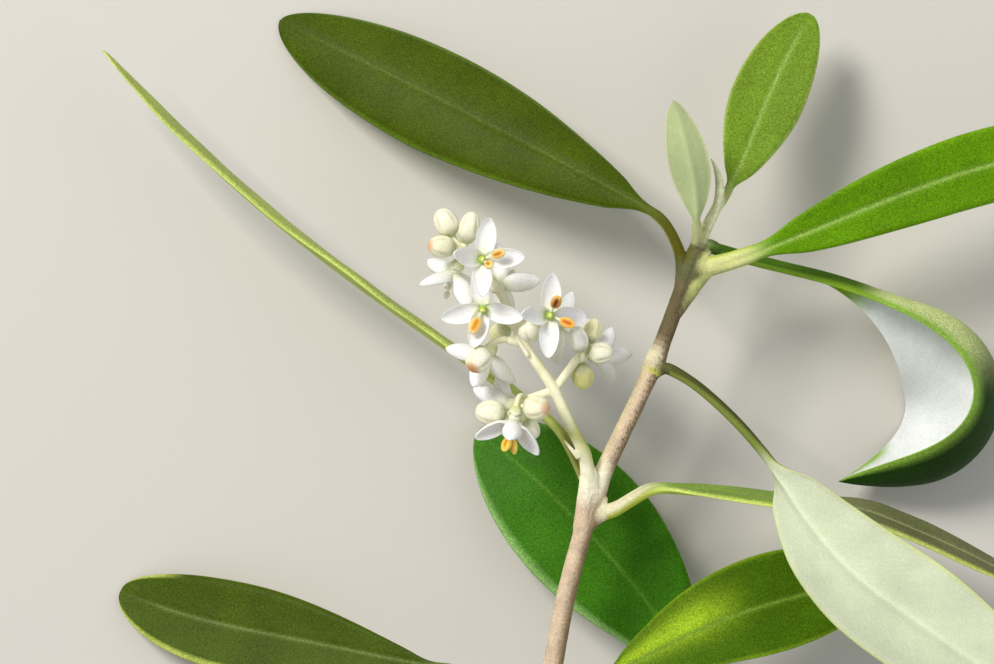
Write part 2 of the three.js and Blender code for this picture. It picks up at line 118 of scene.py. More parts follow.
# Leaves: the node on the stem, the lengths of petiole and blade, the width, the share of the blade where it
# is widest, the cup, which is the margins' rise as a share of the width, the petiole's radius, the course as
# rows of distance, heading, climb and roll, and the look: the colours of the upper face, underside, margin,
# midrib above, petiole above and petiole below.
# Some leaves have more:
# ends: the powers that shape the blade's base and tip, where these are rounder or sharper than usual
# margin: where only one margin is coloured, its side, and the share of the half width where this begins
# base: the upper face's colour toward the base, and the shares of the blade between which it changes
# glow: painted light, the colour where light shines through, the middle and the reach of this band across
# the blade, in half widths, and how far it runs along the blade
# bend: for a bend so sharp that the inner margin is evened out, the rounds of evening, and how much wider
# the inner half is before them
# bud: a small resting bud in the axil
Leaf = namedtuple(
    "Leaf", "node petiole blade width widest cup radius course look ends margin base glow bend bud",
    defaults=((0.62, 0.68), None, None, None, (0, 0), False))
LEAVES = {
    # The upper left leaf's dull olive upper face is darkened with painted shade.
    "upper_left": Leaf("upper", 5.0, 43.4, 10.3, 0.57, -0.1, 0.5, (
        (0, 108, 8, 0), (2.6, 121, -2, 6), (5.2, 150, -12, 10), (20, 152, -17, 10), (48.4, 153, -24.5, 8)), (
        (70, 90, 6), (150, 162, 100), (104, 132, 36), (88, 106, 40), (92, 90, 22), (150, 156, 78)),
        ends=(0.62, 0.5)),
    "upper_right": Leaf("upper", 5.0, 47.5, 7.1, 0.5, 0.08, 0.86, (
        (0, 12, 6, 14), (4, 20, 4, 8), (14, 23, 2, 6), (24, 19, 1, 4), (30, 13, 0, 4), (53, 8, -3, 2)), (
        (98, 147, 2), (188, 200, 150), (112, 162, 10), (158, 190, 88), (212, 214, 142), (176, 194, 70)),
        ends=(0.56, 0.68), bud=True),
    "curled": Leaf("shoot", 17.4, 37.0, 13.0, 0.5, -0.37, 0.6, (
        (0, -24, -32, -20), (7, -8, -17, -40), (14, -17, -10, -60), (19, -17, -8, -100), (24, -24, -7, -120),
        (28, -46, -6, -124), (33, -80, -6, -124), (38, -112, -6, -116), (42, -141, -6, -106),
        (46, -168, -6, -98), (54.4, -192, -6, -90)), (
        (28, 64, 2), (230, 233, 231), (142, 182, 70), (58, 96, 22), (76, 112, 26), (136, 176, 48)),
        margin=(-1, 0.86), base=((202, 216, 142), 0.22, 0.46), bend=(360, 0.35)),
    "tip_pale": Leaf("shoot", 1.4, 12.0, 3.9, 0.5, 0.1, 0.45, (
        (0, 96, 44, 180), (3, 94, 24, 182), (7, 104, 12, 184), (14, 106, 4, 186)), (
        (112, 144, 60), (176, 188, 136), (214, 212, 166), (150, 176, 96), (196, 198, 138), (200, 202, 146)),
        ends=(0.85, 0.6)),
    "tip_green": Leaf("tip", 0.9, 20.0, 7.2, 0.52, 0.08, 0.45, (
        (0, 58, -20, -8), (5, 68, -18, -8), (12, 66, -16, -8), (21, 57, -16, -8)), (
        (116, 149, 40), (186, 198, 150), (168, 192, 90), (150, 180, 84), (186, 196, 120), (190, 202, 130)),
        ends=(0.76, 0.5)),
    "middle_pale": Leaf("middle", 13.4, 38.0, 10.9, 0.5, 0.1, 0.5, (
        (0, -26, 30, -40), (4, -40, 18, -58), (11, -50, 14, -80), (17, -60, 12, -150), (22, -52, 12, -165),
        (30, -36, 10, -168), (51, -34, 6, -170)), (
        (96, 110, 44), (206, 214, 182), (206, 216, 150), (134, 150, 74), (78, 82, 38), (122, 136, 60))),
    "flowering_left": Leaf("flowering", 6.5, 56.6, 8.4, 0.5, 0.05, 0.5, (
        (0, 114, -22, 30), (4, 118, -22, 50), (7.5, 143, -12, 78), (20, 145.5, -3, 87), (34, 143, 0, 88),
        (48, 137, 0, 85), (62, 131, -2, 80)), (
        (184, 202, 96), (186, 202, 108), (202, 220, 118), (190, 206, 110), (108, 112, 44), (176, 180, 100))),
    "flowering_right": Leaf("right_leaf", 5.2, 41.5, 7.2, 0.5, 0.04, 0.66, (
        (0, 14, 4, -40), (1.8, 33, 4, -50), (4, 31, 4, -60), (6.2, -4, 2, -78), (16, -8, 0, -82),
        (23, -6, -2, -80), (27, -22, -2, -74), (36, -25, -2, -72), (47, -32, -2, -68)), (
        (116, 122, 76), (186, 206, 100), (214, 228, 116), (172, 178, 124), (232, 226, 188), (188, 198, 70)),
        base=((134, 166, 66), 0.26, 0.46), bud=True),
    "low_left": Leaf("low", 9.0, 34.4, 8.8, 0.62, 0.06, 0.5, (
        (0, 166, -8, 0), (6, 172, -13, 6), (18, 170, -18, 8), (29, 171, -20, 8), (37, 165, -22, 8),
        (43.4, 157, -24, 8)), (
        (70, 90, 9), (160, 170, 110), (190, 206, 96), (112, 130, 66), (112, 124, 66), (140, 152, 84)),
        ends=(0.62, 0.46), margin=(1, 0.84), bud=True),
    "low_right": Leaf("low", 3.6, 30.5, 9.7, 0.58, 0.1, 0.5, (
        (0, 14, 2, -10), (5, 26, -4, -14), (12, 26, -10, -16), (18, 18, -12, -16), (35, 6, -14, -14)), (
        (74, 110, 6), (150, 170, 90), (126, 162, 24), (122, 158, 52), (146, 160, 84), (150, 166, 84)),
        glow=((176, 212, 44), 0.26, 0.42, 0.56), bud=True),
    "under": Leaf("lowest", 17.2, 32.6, 13.4, 0.56, 0.04, 0.55, (
        (0, -24, -28, 0), (6, -8, -26, 0), (12, 20, -18, 0), (16, 82, -10, 0), (19, 119, -6, 0),
        (28, 129, -3, 0), (40, 136, -9, 0), (50, 144, -24, 0)), (
        (62, 121, 12), (150, 172, 104), (142, 188, 104), (94, 146, 42), (90, 116, 50), (112, 138, 64)),
        ends=(0.62, 0.55), margin=(1, 0.85)),
}

# Places along the flower stalk, and its branches: the place that each leaves from and its end
AXIL = (4.95, 23.2, 1.3)
RACHIS = {
    "foot": (4.5, 25.2, 2.1),
    "bract": (4.1, 27.0, 2.8),
    "below": (2.8, 29.6, 3.3),
    "first": (1.3, 32.9, 3.8),
    "second": (-1.6, 37.3, 4.3),
    "third": (-2.7, 39.6, 4.3),
    "fourth": (-4.0, 42.5, 4.1),
    "end": (-7.2, 46.1, 4.0),
}
BRANCHES = {
    "low_left": ("first", (-1.3, 32.0, 3.5)),
    "low_right": ("first", (3.5, 35.9, 3.0)),
    "high_left": ("second", (-3.0, 37.6, 4.8)),
    "high_right": ("second", (0.0, 38.6, 3.6)),
}

# Forms fused to the stem, as places and the radius at even steps: the flower stalk's boss, the fillet that
# widens it down the stem, the folded young leaf at the shoot's tip, and the ridge below the upper right
# leaf's petiole.
STALK_BOSS = ((AXIL, (4.75, 24.2, 1.7), (4.5, 25.5, 2.2)), (0.82, 0.84, 0.8, 0.7))
STALK_FILLET = (
    ((3.5, 17.2, 0.7), (3.95, 20.2, 1.0), (4.3, 22.8, 1.5), (4.5, 25.0, 2.0)), (0.5, 0.78, 0.8, 0.72))
YOUNG_LEAF = (
    ((16.5, 49.4, 0.6), (16.95, 51.0, 1.2), (17.0, 52.4, 1.6), (16.7, 53.7, 1.8), (16.2, 54.8, 1.8)),
    (0.3, 0.46, 0.46, 0.32, 0.08))
RIGHT_RIDGE = (
    ((12.9, 39.6, 0.6), (14.6, 42.4, 0.5), (16.1, 44.2, 0.4), (18.6, 45.7, 0.5)), (0.3, 0.6, 0.6, 0.3))

# The stalk is cream with green patches. Painted shade makes it greener on the side away from the key light,
# and a painted shadow lays an olive band across that side where it bends. The stem is pale round the boss's
# middle.
STALK_CREAM = (252, 246, 218)
STALK_GREEN_AND_SHADE = (212, 216, 150)
STALK_SHADOW_OLIVE = (164, 168, 76)
STALK_SHADOW_Y = 28.2
BOSS_MIDDLE = (4.35, 24.6, 1.9)

# Thin bracts at the stalk's nodes: foot and tip.
BRACTS = (
    ((3.6, 26.5, 3.1), (2.2, 28.2, 3.6)),
    ((-1.2, 36.2, 4.9), (-2.3, 37.9, 5.5)),
)

# Anthers' looks: size, and the colours of the edge, the face and the furrow.
YELLOW = (0.95, (246, 214, 96), (244, 190, 30), (186, 104, 14))
ORANGE = (1.12, (242, 224, 160), (232, 164, 22), (220, 140, 16))
PALE = (0.62, (240, 228, 176), (238, 214, 120), (220, 180, 80))
UNRIPE = (0.52, (250, 248, 232), (248, 242, 210), (244, 232, 182))
FRESH = (0.86, (244, 224, 150), (232, 166, 28), (188, 104, 12))
OPENED = (0.95, (232, 184, 96), (150, 66, 12), (84, 32, 8))
RUSTY = (0.95, (246, 208, 110), (238, 136, 16), (176, 72, 8))

# Open flowers: the joint, the throat, the way that it faces, the way that its first petal lies, the petals'
# spreads, and each stamen's turn, spread and look. Where petals stand askew, ways say how far each is turned
# round the flower and twisted about its own length. Turns, twists and spreads are in degrees.
Flower = namedtuple(
    "Flower", "joint throat facing leaning spreads stamens ways", defaults=(((0, 0),) * 4,))
FLOWERS = {
    "top": Flower(
        "fourth", (-5.5, 45.1, 8.1), (0, 86), (80, 0), (84, 52, 66, 84),
        ((300, 60, FRESH), (236, 24, FRESH)),
        ways=((0, 0), (0, 0), (8, 0), (14, 0))),
    "top_left": Flower(
        "end", (-8.1, 44.1, 3.2), (-115, -30), (175, 48), (80, 74, 66, 70),
        ((130, 26, UNRIPE), (300, 26, UNRIPE)),
        ways=((0, 25), (0, -30), (0, 0), (0, 30))),
    "top_behind": Flower(
        "fourth", (-3.9, 42.8, 1.6), (30, -66), (95, 0), (80, 84, 80, 46),
        ((40, 36, UNRIPE), (200, 36, UNRIPE))),
    "third": Flower(
        "third", (-5.4, 40.6, 6.55), (262, 78), (190, 0), (84, 66, 78, 104), ((52, 58, ORANGE),),
        ways=((2, 0), (-24, 0), (-20, 0), (-4, 0))),
    "right": Flower(
        "high_right", (0.8, 39.9, 7.4), (0, 86), (87, 0), (84, 52, 84, 128),
        ((343, 50, OPENED), (250, 74, RUSTY))),
    "right_behind": Flower(
        "high_right", (1.6, 39.2, 0.8), (10, -64), (80, 0), (52, 70, 85, 60),
        ((40, 30, PALE), (220, 30, PALE))),
    "left": Flower(
        "high_left", (-5.0, 36.3, 2.8), (236, -34), (163, 0), (70, 44, 76, 76),
        ((50, 24, FRESH), (240, 30, FRESH)),
        ways=((0, -20), (0, 0), (0, 20), (0, 0))),
    "low": Flower(
        "low_left", (-2.5, 30.1, 6.0), (-100, 4), (180, 0), (62, 72, 50, 68),
        ((300, 20, YELLOW), (160, 14, YELLOW)),
        ways=((0, 38), (28, 25), (0, -38), (0, 0))),
    "low_behind": Flower(
        "low_left", (-2.9, 31.6, 2.3), (158, -52), (158, 0), (40, 40, 50, 40), ((60, 8, YELLOW),)),
    "far_right": Flower(
        "low_right", (5.4, 36.2, 0.0), (0, -58), (90, 0), (46, 36, 46, 56), ((270, 10, YELLOW),)),
}

# Bark colours. The cut end shows pale wood with a brown pith, and a green ring under the bark.
BARK = {
    "pale_side": (216, 192, 162),
    # Painted shade: the browner side, away from the key light.
    "painted_shade_side": (146, 122, 90),
    "greenish_side": (204, 200, 150),
    # Painted shade: the darker olive brown of the stem above the middle node.
    "painted_shade_upper_stem": (104, 92, 60),
    "upper_node": (92, 96, 58),
    # Pale shoot, partly painted light: lightened where the leaves above it cast shadow.
    "shoot": (232, 234, 188),
    "collar": (226, 218, 182),
    "crescent": (206, 204, 92),
    "ridge": (172, 178, 108),
    "boss": (250, 242, 212),
    "pits": (104, 78, 50),
    "wood": (214, 210, 168),
    "green_ring": (150, 160, 96),
    "pith": (168, 140, 96),
}
# The bark's grain runs along the stem: its turn in radians, and how closely it lies each way.
BARK_GRAIN_TURN = 0.35
BARK_GRAIN_SCALE = (1.3, 0.5, 1.3)

# Flower and bud colours
CALYX_GREEN = (206, 214, 150)
CALYX_RIM = (232, 232, 200)
TUBE_GREEN = (214, 226, 160)
TUBE_WHITE = (240, 242, 222)
PETAL_WHITE = (248, 247, 243)
# Painted shade along the middle of the petals' inner face.
PETAL_PAINTED_SHADE = (230, 228, 232)
PETAL_FOOT = (232, 236, 200)
OVARY_LIME = (168, 198, 62)
STIGMA_CREAM = (226, 226, 150)
FILAMENT_CREAM = (236, 236, 206)
BUD_SEAM = (206, 206, 152)
BUD_FOOT = (234, 234, 192)

# Buds' looks: the colours of the body and the tip.
CREAM = ((244, 240, 216), (244, 240, 216))
# Whiter body, partly painted light for a bud that lies in a flower's shadow.
WHITE = ((250, 249, 238), (250, 249, 240))
ORANGE_TIP = ((242, 238, 206), (226, 178, 138))
RUSTY_TIP = ((242, 238, 216), (208, 142, 78))
# Pale yellow green, partly painted light for buds that lie in the shadow of others.
PALE_GREEN_PAINTED_LIGHT = ((246, 242, 190), (250, 246, 214))
GREENISH = ((222, 218, 142), (228, 228, 166))

# Buds: the joint, the middle, the way that it faces, the length, the width and the look.
Bud = namedtuple("Bud", "joint middle facing length width look")
BUDS = {
    "end_left": Bud("end", (-8.9, 48.7, 4.2), (117, 8), 2.8, 2.25, CREAM),
    "end_right": Bud("end", (-6.7, 48.2, 4.6), (76, 14), 3.1, 1.95, CREAM),
    "end_low": Bud("end", (-9.3, 46.4, 5.2), (176, 24), 2.7, 2.1, ORANGE_TIP),
    "second_right": Bud("high_right", (-1.0, 38.6, 6.3), (140, 55), 2.5, 2.3, CREAM),
    "left_front": Bud("high_left", (-5.8, 35.8, 7.0), (235, 30), 2.7, 2.4, RUSTY_TIP),
    "left_back": Bud("second", (-3.8, 38.3, 1.6), (225, -34), 2.4, 1.9, PALE_GREEN_PAINTED_LIGHT),
    "low_right": Bud("low_left", (-0.4, 31.3, 6.7), (-5, 40), 2.7, 2.3, ORANGE_TIP),
    "low_left": Bud("low_left", (-4.7, 30.8, 4.9), (175, 10), 2.9, 2.4, CREAM),
    "low_front": Bud("low_left", (-1.0, 29.3, 3.3), (-55, -14), 2.3, 1.8, CREAM),
    "far_top_left": Bud("low_right", (3.5, 37.7, 4.8), (107, 20), 2.6, 1.9, WHITE),
    "far_top_right": Bud("low_right", (4.9, 38.5, 3.0), (72, 0), 2.4, 1.7, PALE_GREEN_PAINTED_LIGHT),
    "far_right": Bud("low_right", (5.7, 36.4, 4.2), (2, 20), 2.4, 2.0, CREAM),
    "far_low": Bud("low_right", (4.0, 34.2, 2.2), (-80, -12), 2.6, 2.1, GREENISH),
}


# Numbers, colours and places
def linear(colour):
    """An 8-bit sRGB colour as scene-linear light."""
    share = np.array(colour, float) / 255
    return np.where(share <= 0.04045, share / 12.92, ((share + 0.055) / 1.055) ** 2.4)


def unit(way):
    return way / np.linalg.norm(way, axis=-1, keepdims=True)


def smooth(value, low, high):
    """0 below one value, 1 above another, with an even passage between."""
    share = np.clip((value - low) / (high - low), 0, 1)
    return share * share * (3 - 2 * share)


def hump(away, spread):
    """1 where a distance is 0, falling off with a spread."""
    return np.exp(-((away / spread) ** 2))


def blend(start, end, weight):
    """Colours or places between two, with the weights' own shape and one more column."""
    weight = np.asarray(weight)[..., None]
    return start * (1 - weight) + end * weight


def dyed(tint, colour, weight):
    """A scene-linear tint blended toward an 8-bit colour."""
    return blend(tint, linear(colour), weight)


def direction(heading, climb):
    """The unit vector of a heading and a climb in degrees."""
    heading, climb = np.radians(heading), np.radians(climb)
    level = np.cos(climb)
    return stacked(level * np.cos(heading), level * np.sin(heading), np.sin(climb))


def around(sides):
    """Even angles round a ring."""
    return np.linspace(0, 2 * np.pi, sides, endpoint=False)


def turned_axes(degrees):
    """Axes of a thing that is turned anticlockwise about +Z."""
    turn = math.radians(degrees)
    return [[math.cos(turn), math.sin(turn), 0], [-math.sin(turn), math.cos(turn), 0], [0, 0, 1]]


def distances(points, place):
    return np.linalg.norm(points - np.array(place), axis=1)


def stacked(*tables):
    """Tables of numbers as the last column of one, each spread to their common shape."""
    return np.stack(np.broadcast_arrays(*tables), -1)


def waver(places, size, seed):
    """Smooth noise from about -1 to 1 at each place, with lumps of a size."""
    offset = Vector((seed * 7.31, seed * 3.17, seed * 5.53))
    flat = np.asarray(places, float).reshape(-1, 3) / size
    values = [noise.noise(Vector(place) + offset) for place in flat]
    return np.array(values).reshape(np.asarray(places).shape[:-1])


# Curves
def between(at, known, table):
    """A table's columns, known at some places, read at others."""
    return np.stack([np.interp(at, known, column) for column in table.T], -1)


class Course:
    """A curve as evenly spaced points, read by the share of its length."""

    def __init__(self, points, count=400):
        points = np.array(points, float)
        along = np.concatenate([[0], np.cumsum(np.linalg.norm(np.diff(points, axis=0), axis=1))])
        self.length = along[-1]
        self.shares = np.linspace(0, 1, count + 1)
        self.points = between(self.shares * self.length, along, points)
        self.tangents = unit(np.gradient(self.points, axis=0))

    def nearest(self, place):
        return self.shares[distances(self.points, place).argmin()]

    def at(self, share):
        return between(share, self.shares, self.points)

    def along(self, share):
        return unit(between(share, self.shares, self.tangents))


def near_course(points, course, step=1):
    """Each point's distance from a course, and the share of the course that it is nearest to."""
    away = np.linalg.norm(points[:, None] - course.points[None, ::step], axis=2)
    return away.min(1), course.shares[::step][away.argmin(1)]


def rounded(places):
    """Points on the centripetal Catmull-Rom curve through some places."""
    places = np.array(places, float)
    padded = np.vstack([2 * places[0] - places[1], places, 2 * places[-1] - places[-2]])
    share = np.linspace(0, 1, SPAN_STEPS, endpoint=False)[:, None]
    spans = []
    for a, b, c, d in zip(padded, padded[1:], padded[2:], padded[3:]):
        before, here, after = (np.sqrt(np.linalg.norm(y - x)) for x, y in ((a, b), (b, c), (c, d)))
        leaving = ((b - a) / before - (c - a) / (before + here) + (c - b) / here) * here
        arriving = ((c - b) / here - (d - b) / (here + after) + (d - c) / after) * here
        spans.append(
            (2 * share**3 - 3 * share**2 + 1) * b
            + (share**3 - 2 * share**2 + share) * leaving
            + (3 * share**2 - 2 * share**3) * c
            + (share**3 - share**2) * arriving
        )
    return np.vstack([*spans, places[-1]])


def bent(start, bend, end):
    """Points on the quadratic Bezier curve."""
    share = np.linspace(0, 1, BEND_POINTS)[:, None]
    return (1 - share) ** 2 * start + 2 * share * (1 - share) * bend + share**2 * end


# Meshes
POINT_VALUES = {
    "tint": ("FLOAT_COLOR", "color"),
    "blade": ("FLOAT_VECTOR", "vector"),
    "weather": ("FLOAT", "value"),
}


class Shape:
    """Points and faces, with a tint and other values for each point."""

    def __init__(self, points, faces, **values):
        self.points = points
        self.faces = faces
        self.values = values

    def turned(self, axes, origin):
        return Shape(self.points @ np.array(axes) + origin, self.faces, **self.values)


def joined(shapes):
    faces = []
    start = 0
    for shape in shapes:
        faces += [[corner + start for corner in face] for face in shape.faces]
        start += len(shape.points)
    values = {name: np.concatenate([s.values[name] for s in shapes]) for name in shapes[0].values}
    return Shape(np.vstack([s.points for s in shapes]), faces, **values)


def skin(rings, tip_bulge=0.0):
    """Points and faces that join rings of points, with a fan to the middle of each end."""
    count, sides = rings.shape[:2]
    here = np.arange(sides)
    after = np.roll(here, -1)
    start = np.arange(count - 1)[:, None] * sides
    quads = np.stack([start + here, start + after, start + after + sides, start + here + sides], -1)
    foot, tip = rings[0].mean(0), rings[-1].mean(0)
    tip_way = tip - rings[-2].mean(0)
    tip = tip + tip_bulge * tip_way / (np.linalg.norm(tip_way) + 1e-9)
    points = np.vstack([rings.reshape(-1, 3), foot, tip])
    first, last, end = count * sides, count * sides + 1, (count - 1) * sides
    fans = [[first, b, a] for a, b in zip(here, after)]
    fans += [[last, end + a, end + b] for a, b in zip(here, after)]
    return points, quads.reshape(-1, 4).tolist() + fans


def with_ends(table):
    """The values at the rings' points, and those of the two middles of the ends."""
    return np.concatenate([table.reshape(-1, 3), table[:1].mean(1), table[-1:].mean(1)])


def tube(points, radius, sides):
    """A round tube along points. The radius is a number, or one for each point."""
    points = np.asarray(points, float)
    along = unit(np.gradient(points, axis=0))
    across = np.cross(along[0], (0.2, 0.3, 1.0))
    rows = []
    for way in along:
        across = unit(across - way * (across @ way))
        rows.append(across)
    normals = np.array(rows)
    binormals = np.cross(along, normals)
    angle = around(sides)[None, :, None]
    radius = np.broadcast_to(radius, len(points))[:, None, None]
    outward = np.cos(angle) * normals[:, None] + np.sin(angle) * binormals[:, None]
    return skin(points[:, None] + radius * outward)


def ball(middle, way, length, width):
    """An egg shape with its long axis along a way."""
    share = np.linspace(0.02, 0.98, 8)
    points = np.array(middle) + np.outer((share - 0.5) * length, unit(np.array(way, float)))
    return tube(points, width / 2 * np.sin(np.pi * share**1.15) ** 0.8, 10)


def fused(parts, voxel, rounds):
    """One smooth skin round closed parts that run into each other, as its points and faces."""
    whole = joined([Shape(*part) for part in parts])
    mesh = bpy.data.meshes.new("fusing")
    mesh.from_pydata(whole.points.tolist(), [], whole.faces)
    lump = placed("fusing", mesh)
    remesh = lump.modifiers.new("remesh", "REMESH")
    remesh.mode = "VOXEL"
    remesh.voxel_size = voxel
    melt = lump.modifiers.new("melt", "SMOOTH")
    melt.factor = 0.5
    melt.iterations = rounds
    bpy.context.view_layer.update()
    done = lump.evaluated_get(bpy.context.evaluated_depsgraph_get()).to_mesh()
    points, normals = np.empty((2, len(done.vertices) * 3))
    done.vertices.foreach_get("co", points)
    done.vertices.foreach_get("normal", normals)
    faces = [list(face.vertices) for face in done.polygons]
    bpy.data.objects.remove(lump)
    bpy.data.meshes.remove(mesh)
    return points.reshape(-1, 3), normals.reshape(-1, 3), faces


def placed(name, data):
    """An object with some data, in the scene."""
    made = bpy.data.objects.new(name, data)
    bpy.context.scene.collection.objects.link(made)
    return made


def show(name, shape, material, node):
    """Puts a shape into the scene as a piece that stands for one of the solids."""
    mesh = bpy.data.meshes.new(name)
    mesh.from_pydata((shape.points * MM + CUT_END).tolist(), [], shape.faces)
    for key, values in shape.values.items():
        if key == "tint":
            values = np.concatenate([values, np.ones((len(values), 1))], 1)
        kind, field = POINT_VALUES[key]
        attribute = mesh.attributes.new(key, kind, "POINT")
        attribute.data.foreach_set(field, values.astype(np.float32).ravel())
    mesh.polygons.foreach_set("use_smooth", np.ones(len(mesh.polygons), bool))
    mesh.materials.append(material)
    mesh.update()
    made = placed(name, mesh)
    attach(made, "root")
    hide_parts(node)


# Materials
class Nodes:
    """A material under way. A place in the node tree takes a number, a colour or another node's output."""

    def __init__(self, name):
        self.material = bpy.data.materials.new(name)
        self.material.use_nodes = True
        self.tree = self.material.node_tree
        self.shader = self.tree.nodes["Principled BSDF"]
        self.places = self.add("ShaderNodeTexCoord").outputs["Object"]

    def add(self, kind, inputs=None, **settings):
        node = self.tree.nodes.new(kind)
        for key, value in settings.items():
            setattr(node, key, value)
        self.fill(node, inputs or {})
        return node

    def fill(self, node, inputs):
        for key, value in inputs.items():
            if isinstance(value, bpy.types.NodeSocket):
                self.tree.links.new(value, node.inputs[key])
            else:
                node.inputs[key].default_value = value

    def maths(self, operation, *values):
        inputs = dict(enumerate(values))
        return self.add("ShaderNodeMath", inputs, operation=operation).outputs[0]

    def times(self, first, second):
        return self.maths("MULTIPLY", first, second)

    def plus(self, first, second):
        return self.maths("ADD", first, second)

    def ramp(self, value, low, high, start=0.0, end=1.0):
        inputs = {"Value": value, "From Min": low, "From Max": high, "To Min": start, "To Max": end}
        return self.add("ShaderNodeMapRange", inputs, interpolation_type="SMOOTHSTEP").outputs["Result"]

    def mix(self, weight, first, second, how="MIX"):
        node = self.add("ShaderNodeMix", {0: weight, 6: first, 7: second}, data_type="RGBA", blend_type=how)
        return node.outputs[2]

    def lumps(self, size_mm, detail=3.0, places=None):
        """Noise from 0 to 1 with lumps of a size."""
        inputs = {"Vector": places or self.places, "Scale": 1 / (size_mm * MM), "Detail": detail}
        return self.add("ShaderNodeTexNoise", inputs).outputs["Fac"]

    def dots(self, spacing_mm, low, high, places=None):
        """1 in dots that stand a spacing apart, 0 between them."""
        inputs = {"Vector": places or self.places, "Scale": 1 / (spacing_mm * MM)}
        away = self.add("ShaderNodeTexVoronoi", inputs).outputs["Distance"]
        return self.ramp(away, high, low)

    def attribute(self, name, output="Fac"):
        return self.add("ShaderNodeAttribute", attribute_name=name).outputs[output]

    def shaded(self, colour, value, low, high):
        """A colour made darker or lighter by a value from 0 to 1."""
        level = self.ramp(value, 0.25, 0.75, low, high)
        grey = self.add("ShaderNodeCombineColor", {0: level, 1: level, 2: level}).outputs[0]
        return self.mix(1.0, colour, grey, "MULTIPLY")

    def relief(self, height, depth_mm):
        inputs = {"Height": height, "Distance": depth_mm * MM, "Strength": 1.0}
        return self.add("ShaderNodeBump", inputs).outputs["Normal"]

    def finish(self, **inputs):
        self.fill(self.shader, {key.replace("_", " "): value for key, value in inputs.items()})
        return self.material


def side_veins(nodes, across, along):
    """1 on the veins that leave the midrib at even steps and run forward, 0 between them."""
    forward = nodes.plus(nodes.times(across, -1.3), nodes.times(nodes.lumps(3.0), 1.6))
    vein = nodes.maths("FRACT", nodes.maths("DIVIDE", nodes.plus(along, forward), SIDE_VEIN_SPACING))
    return nodes.ramp(nodes.maths("ABSOLUTE", nodes.maths("SUBTRACT", vein, 0.5)), 0.16, 0.0)


def leaf_material():
    """Leathery above, with pale scales, faint side veins and a soft gloss. Felted and duller beneath."""
    nodes = Nodes("leaf_blade")
    place = nodes.attribute("blade", "Vector")
    across, along, upper = nodes.add("ShaderNodeSeparateXYZ", {0: place}).outputs
    vein = side_veins(nodes, nodes.maths("ABSOLUTE", across), along)
    scales = nodes.times(nodes.dots(0.24, 0.1, 0.45), nodes.ramp(nodes.lumps(4.0), 0.35, 0.65, 0.4, 1.0))
    tint, patches, fine = nodes.attribute("tint", "Color"), nodes.lumps(5.0), nodes.lumps(0.17, 2.0)
    beneath, above = nodes.shaded(tint, patches, 0.9, 1.08), nodes.shaded(tint, patches, 0.76, 0.98)
    colour = nodes.mix(upper, beneath, above)
    beneath, above = nodes.shaded(colour, fine, 0.93, 1.06), nodes.shaded(colour, fine, 0.68, 1.27)
    colour = nodes.mix(upper, beneath, above)
    paler = nodes.mix(1.0, colour, (1.9, 1.7, 2.4, 1), "MULTIPLY")
    colour = nodes.mix(nodes.times(vein, 0.03), colour, paler)
    dusted = nodes.times(scales, nodes.ramp(upper, 0, 1, 0.06, 0.5))
    height = nodes.plus(nodes.times(fine, 0.5), nodes.times(scales, 0.35))
    height = nodes.maths("SUBTRACT", height, nodes.times(vein, 0.08))
    return nodes.finish(
        Base_Color=nodes.mix(dusted, colour, paler),
        Roughness=nodes.ramp(nodes.plus(upper, nodes.times(fine, 0.2)), 0, 1, 0.78, 0.5),
        Specular_IOR_Level=0.09,
        Subsurface_Weight=0.05,
        Subsurface_Radius=(0.7, 1.0, 0.2),
        Subsurface_Scale=0.4 * MM,
        Normal=nodes.relief(height, 0.045),
    )


def bark_material():
    """Young bark: smooth and pale, with brown pits on the weathered side and shallow ridges along it."""
    nodes = Nodes("young_bark")
    grain = {"Vector": nodes.places, "Rotation": (0, 0, BARK_GRAIN_TURN), "Scale": BARK_GRAIN_SCALE}
    grain = nodes.add("ShaderNodeMapping", grain).outputs[0]
    ridges = nodes.lumps(0.3, places=grain)
    marks = nodes.times(nodes.dots(0.25, 0.2, 0.48, grain), nodes.attribute("weather"))
    marks = nodes.times(marks, nodes.ramp(nodes.lumps(0.7), 0.3, 0.55, 0.35, 1.0))
    colour = nodes.shaded(nodes.attribute("tint", "Color"), nodes.lumps(1.6), 0.84, 1.12)
    colour = nodes.shaded(colour, nodes.lumps(0.2, 2.0), 0.86, 1.1)
    height = nodes.maths("SUBTRACT", ridges, nodes.times(marks, 0.8))
    return nodes.finish(
        Base_Color=nodes.mix(nodes.times(marks, 0.72), colour, (*linear(BARK["pits"]), 1)),
        Roughness=nodes.ramp(nodes.lumps(0.8), 0, 1, 0.62, 0.82),
        Specular_IOR_Level=0.3,
        Normal=nodes.relief(height, 0.09),
    )


def tissue_material(name, roughness, grain_mm, depth_mm, glow):
    """Soft plant skin: a tint with fine grain, that lets a little light through."""
    nodes = Nodes(name)
    grain = nodes.lumps(grain_mm)
    colour = nodes.shaded(nodes.attribute("tint", "Color"), nodes.lumps(1.2), 0.94, 1.04)
    return nodes.finish(
        Base_Color=nodes.shaded(colour, grain, 0.93, 1.05),
        Roughness=nodes.ramp(grain, 0, 1, roughness - 0.08, roughness + 0.08),
        Specular_IOR_Level=0.35,
        Subsurface_Weight=glow,
        Subsurface_Radius=(1.0, 0.9, 0.6),
        Subsurface_Scale=0.6 * MM,
        Normal=nodes.relief(grain, depth_mm),
    )


# Stem
stem_course = Course(rounded(list(STEM.values())))
node_shares = [stem_course.nearest(STEM[node]) for node in SWOLLEN_NODES]
_, at_flowering, at_middle, at_upper = node_shares


def stem_radius(share):
    away = (np.asarray(share)[..., None] - node_shares) * stem_course.length
    bulge = NODE_SWELLING * np.minimum(1, hump(away, NODE_SPREAD).sum(-1))
    return STEM_RADIUS_CUT + (STEM_RADIUS_TIP - STEM_RADIUS_CUT) * share + bulge


